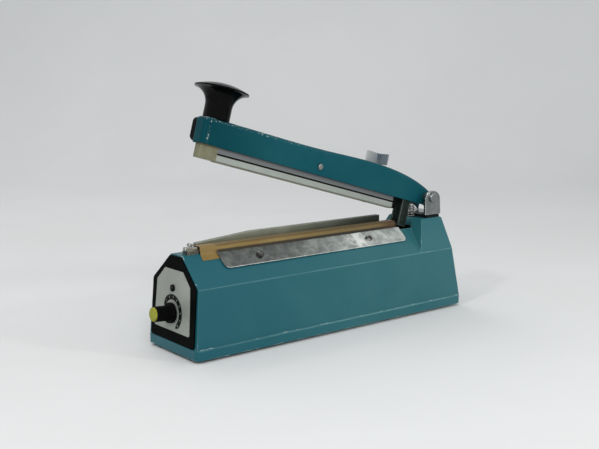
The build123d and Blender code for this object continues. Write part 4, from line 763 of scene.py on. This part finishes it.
def makeCloth(look):
    low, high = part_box("ptfe_cloth")
    bedLow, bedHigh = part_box("element_bed")
    railLow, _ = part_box("cutter_guide_rail")
    length = high.x - low.x
    topZ = high.z - look["topGap"]
    flatZ = bedLow.z + look["lift"]
    slope = math.atan2(look["slopeRise"], look["slopeRun"])
    down = Vector((0.0, -math.cos(slope), -math.sin(slope)))
    out = Vector((0.0, -math.sin(slope), math.cos(slope)))
    start = Vector((0.0, look["slopeEdge"], bedLow.z)) + out * look["lift"]
    corners = [
        start + down * look["underClamp"],
        start + down * look["leaveSlope"],
        Vector((0.0, bedLow.y - look["ridgeGap"], topZ)),
        Vector((0.0, bedHigh.y + look["ridgeGap"], topZ)),
        Vector((0.0, railLow.y - look["railGap"], flatZ)),
        Vector((0.0, railLow.y + look["underRail"], flatZ)),
    ]
    path, pathLength = resample(roundedPath(corners, look["corner"], look["cornerSteps"]), look["rows"])
    rippleX, rippleShare, rippleSeed = look["rippleNoise"]
    edgeShare, edgeReach, edgeSeed = look["edgeNoise"]
    verts, coordinates = [], []
    for i, point in enumerate(path):
        share = i / (look["rows"] - 1)
        span = min(max((share - look["looseFrom"]) / look["looseSpan"], 0.0), 1.0)
        loose = math.sin(math.pi * span)  # free span by the ridge
        for j in range(look["columns"]):
            reach = j / (look["columns"] - 1)
            x = low.x + length * reach
            wave = noise.noise(Vector((x * rippleX, share * rippleShare, rippleSeed)))
            shift = Vector(look["rippleWay"]) * look["ripple"] * wave * loose
            endWave = noise.noise(Vector((share * edgeShare, reach * edgeReach, edgeSeed)))
            endShift = endWave * look["edgeRipple"] * abs(2 * reach - 1) ** look["edgePower"]
            verts.append(Vector((x + endShift, point.y, point.z)) + shift)
            coordinates.append((reach * length, share * pathLength))
    faces = gridFaces(look["rows"], look["columns"])
    material = makeClothMaterial(look, length)
    piece = newPiece("sealingCloth", verts, faces, "base", material)
    uvLayer = piece.data.uv_layers.new(name="flatCloth")
    for loop in piece.data.loops:
        uvLayer.data[loop.index].uv = coordinates[loop.vertex_index]
    thick = piece.modifiers.new("cloth thickness", "SOLIDIFY")
    thick.thickness = look["thickness"]
    thick.offset = 1.0 if piece.data.polygons[0].normal.z > 0 else -1.0
    applyModifiers(piece)
    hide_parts("ptfe_cloth")
    return pathLength, length


clothCut = makeCloth(clothLook)
print("cloth laid, cut in metres:", [round(side, 4) for side in clothCut])


# bright lug that holds the front end of the heating strip

lugLook = dict(
    width=0.0046, thickness=0.0005, clearance=0.0001, rollRadius=0.0015, rollPlace=0.0052, rollStart=-90.0,
    rollSweep=290.0, lip=0.0040, steps=16,
)


def makeLug(look):
    blockLow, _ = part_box("terminal_blocks")
    stripLow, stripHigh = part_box("heating_element")
    middle = (stripLow.y + stripHigh.y) / 2
    gap = look["thickness"] / 2 + look["clearance"]
    top, front = stripHigh.z + gap, blockLow.x - gap
    roll = look["rollRadius"]
    # lip over the block's front face, flat seat, then a roll beside the cloth
    path = [Vector((front, 0.0, top - look["lip"])), Vector((front, 0.0, top))]
    for step in range(look["steps"] + 1):
        angle = math.radians(look["rollStart"] + look["rollSweep"] * step / look["steps"])
        across, above = roll * math.cos(angle), roll * (1 + math.sin(angle))
        path.append(Vector((front + look["rollPlace"] + across, 0.0, top + above)))
    verts = []
    for point in path:
        verts.append(Vector((point.x, middle - look["width"] / 2, point.z)))
        verts.append(Vector((point.x, middle + look["width"] / 2, point.z)))
    faces = gridFaces(len(path), 2)
    piece = newPiece("elementLug", verts, faces, "base", finishes["springWire"])
    thick = piece.modifiers.new("sheet thickness", "SOLIDIFY")
    thick.thickness = look["thickness"]
    thick.offset = 0.0
    applyModifiers(piece)


makeLug(lugLook)
print("lug folded")


# coil spring under the arm

springLook = dict(
    turns=11, wire=0.0011, radius=0.0030, stepsPerTurn=32, around=10, deadTurns=0.8, deadRise=0.45,
)


def makeSpring(look):
    low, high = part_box("return_spring")
    middle = (low + high) / 2
    wireRadius = look["wire"] / 2
    bottom, top = low.z + wireRadius, high.z - wireRadius
    steps = look["turns"] * look["stepsPerTurn"]
    around = look["around"]
    dead = look["deadTurns"] / look["turns"]
    flat = look["deadRise"]  # the end turns lie flatter than the working ones
    upward = Vector((0.0, 0.0, 1.0))
    verts = []
    for step in range(steps + 1):
        share = step / steps
        if share < dead:
            rise = flat * share
        elif share > 1 - dead:
            rise = 1 - flat * (1 - share)
        else:
            rise = flat * dead + (share - dead) * (1 - 2 * flat * dead) / (1 - 2 * dead)
        angle = 2 * math.pi * step / look["stepsPerTurn"]
        radial = Vector((math.cos(angle), math.sin(angle), 0.0))
        centre = Vector((middle.x, middle.y, bottom + rise * (top - bottom))) + radial * look["radius"]
        for k in range(around):
            roll = 2 * math.pi * k / around
            verts.append(centre + (radial * math.cos(roll) + upward * math.sin(roll)) * wireRadius)
    faces = []
    for step in range(steps):
        for k in range(around):
            a, b = step * around + k, step * around + (k + 1) % around
            faces.append((a, b, b + around, a + around))
    faces.append(tuple(range(around))[::-1])
    faces.append(tuple(range(steps * around, (steps + 1) * around)))
    piece = newPiece("armSpring", verts, faces, "base", finishes["springWire"])
    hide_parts("return_spring")
    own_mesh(piece)


makeSpring(springLook)
print("spring wound with", springLook["turns"], "turns")


# printed scale on the dial plate

dialLook = dict(
    innerRadius=0.0112, outerRadius=0.0158, startAngle=160.0, endAngle=-62.0, lift=0.00004, thick=0.00006,
    steps=72, startTaper=0.10, endTaper=0.07, tipShare=0.06, thinShare=0.25,
    numerals=8, numeralSize=0.0028, numeralStart=0.10, numeralReach=0.82,
)


def findDial():
    knob = joints["timer_knob_turn"]
    normal = Vector(knob["axis"]).normalized()
    side = Vector((0.0, -1.0, 0.0))
    upright = normal.cross(side)
    centre = Vector(knob["pos_m"])
    face = max((v.co - centre).dot(normal) for v in nodes["dial_plate"].data.vertices)
    return centre + normal * face, side, upright, normal


dialOrigin, dialSide, dialUpright, dialNormal = findDial()


def onDial(x, y, z):
    return dialOrigin + dialSide * x + dialUpright * y + dialNormal * z


def dialAngle(look, share):
    return math.radians(look["startAngle"] + (look["endAngle"] - look["startAngle"]) * share)


def bandPiece(name, sections, base, thick, material):
    # a flat printed strip given by inner and outer points along its length
    verts = []
    for inner, outer in sections:
        for z in (base, base + thick):
            verts.append(onDial(*inner, z))
            verts.append(onDial(*outer, z))
    faces = []
    for i in range(len(sections) - 1):
        a, b = 4 * i, 4 * (i + 1)
        faces += [(a, a + 1, b + 1, b), (a + 2, b + 2, b + 3, a + 3)]
        faces += [(a, b, b + 2, a + 2), (a + 1, a + 3, b + 3, b + 1)]
    last = 4 * (len(sections) - 1)
    faces += [(0, 2, 3, 1), (last, last + 1, last + 3, last + 2)]
    return newPiece(name, verts, faces, "base", material, smooth=False)


def makeDial(look):
    middle = (look["innerRadius"] + look["outerRadius"]) / 2
    sections = []
    for step in range(look["steps"] + 1):
        share = step / look["steps"]
        angle = dialAngle(look, share)
        closing = max(look["tipShare"], (1.0 - share) / look["endTaper"])
        taper = min(1.0, share / look["startTaper"], closing)
        width = look["thinShare"] + (1.0 - look["thinShare"]) * taper
        half = (look["outerRadius"] - look["innerRadius"]) / 2 * width
        direction = (math.cos(angle), math.sin(angle))
        sections.append([tuple(c * radius for c in direction) for radius in (middle - half, middle + half)])
    bandPiece("dialBand", sections, look["lift"], look["thick"], finishes["blackPrint"])

    halfInk = look["thick"] / 2
    height = look["lift"] + look["thick"] + halfInk  # the numbers lie on the band
    turn = Matrix((dialSide, dialUpright, dialNormal)).transposed().to_4x4()
    marks = bmesh.new()
    for number in range(1, look["numerals"] + 1):
        share = look["numeralStart"] + look["numeralReach"] * (number - 1) / (look["numerals"] - 1)
        angle = dialAngle(look, share)
        curve = bpy.data.curves.new(f"numeral{number}", "FONT")
        curve.body = str(number)
        curve.size = look["numeralSize"]
        curve.align_x = "CENTER"
        curve.align_y = "CENTER"
        curve.extrude = halfInk
        holder = addObject(f"numeral{number}", curve)
        shape = bpy.data.meshes.new_from_object(holder.evaluated_get(bpy.context.evaluated_depsgraph_get()))
        bpy.data.objects.remove(holder)
        spin = Matrix.Rotation(angle - math.pi / 2, 4, "Z")
        place = onDial(middle * math.cos(angle), middle * math.sin(angle), height)
        shape.transform(Matrix.Translation(place) @ turn @ spin)
        marks.from_mesh(shape)
        bpy.data.meshes.remove(shape)
    mesh = bpy.data.meshes.new("dialNumerals")
    marks.to_mesh(mesh)
    marks.free()
    piece = addObject("dialNumerals", mesh)
    mesh.materials.append(finishes["palePrint"])
    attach(piece, "base")


makeDial(dialLook)
print("dial printed with", dialLook["numerals"], "numbers")


# floor, light and camera

stageLook = dict(
    near=1.6, far=1.1, bend=0.7, wall=1.6, half=3.2, bendSteps=14, turn=-39.0, drop=0.0002,
    colour=(0.78, 0.78, 0.77), blotch=(0.80, 0.80, 0.795), blotchScale=3.0, rough=0.8, specular=0.1,
    worldColour=(0.94, 0.97, 1.0), worldStrength=0.62, seenColour=(0.98, 0.98, 0.97), seenStrength=0.88,
)


def makeSweep(look):
    # floor that curves up into a wall behind the object
    profile = [(-look["near"], 0.0), (look["far"], 0.0)]
    for step in range(1, look["bendSteps"] + 1):
        angle = math.pi / 2 * step / look["bendSteps"]
        profile.append((look["far"] + look["bend"] * math.sin(angle), look["bend"] * (1 - math.cos(angle))))
    profile.append((look["far"] + look["bend"], look["bend"] + look["wall"]))
    verts = [(side * look["half"], away, up) for away, up in profile for side in (-1, 1)]
    mesh = bpy.data.meshes.new("studioSweep")
    mesh.from_pydata(verts, [], [face[::-1] for face in gridFaces(len(profile), 2)])
    for polygon in mesh.polygons:
        polygon.use_smooth = True
    sweep = addObject("studioSweep", mesh)
    sweep.rotation_euler.z = math.radians(look["turn"])
    sweep.location.z = -look["drop"]
    material, tree, shader = startMaterial("paleSweep")
    cloud = useGroup(
        tree, "cloud", Colour=(*look["colour"], 1.0), Blotch=(*look["blotch"], 1.0),
        Scale=look["blotchScale"],
    )
    tree.links.new(cloud.outputs["Colour"], shader.inputs["Base Color"])
    shader.inputs["Roughness"].default_value = look["rough"]
    shader.inputs["Specular IOR Level"].default_value = look["specular"]
    mesh.materials.append(material)


def makeWorld(look):
    world = bpy.data.worlds.new("softStudio")
    world.use_nodes = True
    bpy.context.scene.world = world
    tree = world.node_tree
    tree.nodes.clear()
    leave = tree.nodes.new("ShaderNodeOutputWorld")
    lit = addNode(
        tree, "ShaderNodeBackground", Color=(*look["worldColour"], 1.0), Strength=look["worldStrength"]
    )
    seen = addNode(
        tree, "ShaderNodeBackground", Color=(*look["seenColour"], 1.0), Strength=look["seenStrength"]
    )
    path = tree.nodes.new("ShaderNodeLightPath")
    shown = mathNode(tree, "ADD", path.outputs["Is Camera Ray"], path.outputs["Is Glossy Ray"])
    shown = mathNode(tree, "ADD", shown, path.outputs["Is Transmission Ray"], clamp=True)
    mix = tree.nodes.new("ShaderNodeMixShader")
    tree.links.new(shown, mix.inputs[0])
    tree.links.new(lit.outputs[0], mix.inputs[1])
    tree.links.new(seen.outputs[0], mix.inputs[2])
    tree.links.new(mix.outputs[0], leave.inputs[0])


def pointAlong(name, data, place, direction):
    holder = addObject(name, data)
    holder.location = place
    holder.rotation_euler = direction.to_track_quat("-Z", "Y").to_euler()
    return holder


lampLook = [
    dict(name="keyLamp", place=(-0.66, -1.16, 0.90), aim=(0.0, 0.0, 0.08), size=0.4, power=6.5),
    dict(name="rightSparkle", place=(0.45, -1.00, 0.50), aim=(-0.1, 0.0, 0.2), size=0.08, power=2.2),
    dict(name="leftSparkle", place=(-1.08, -0.25, 0.96), aim=(-0.1, 0.0, 0.2), size=0.10, power=3.0),
    dict(name="backLamp", place=(0.1, 1.1, 1.2), aim=(0.0, 0.0, 0.12), size=0.7, power=3.0),
]


def makeLamp(look):
    lamp = bpy.data.lights.new(look["name"], "AREA")
    lamp.energy = look["power"]
    lamp.size = look["size"]
    pointAlong(look["name"], lamp, look["place"], Vector(look["aim"]) - Vector(look["place"]))


viewLook = dict(
    place=(-0.5248, -0.6422, 0.2277), forward=(0.6211, 0.7619, -0.1841), sensor=36.0, lens=54.09,
    shiftX=-0.01553, shiftY=0.04174, clipStart=0.01,
)


def makeCamera(look):
    camera = bpy.data.cameras.new("photoCamera")
    camera.sensor_width = look["sensor"]
    camera.lens = look["lens"]
    camera.shift_x = look["shiftX"]
    camera.shift_y = look["shiftY"]
    camera.clip_start = look["clipStart"]
    view = pointAlong("photoCamera", camera, look["place"], Vector(look["forward"]))
    bpy.context.scene.camera = view


makeSweep(stageLook)
makeWorld(stageLook)
for look in lampLook:
    makeLamp(look)
makeCamera(viewLook)
bpy.context.scene.view_settings.view_transform = "Standard"
print("stage lit by", len(lampLook), "lamps")

bpy.context.view_layer.update()
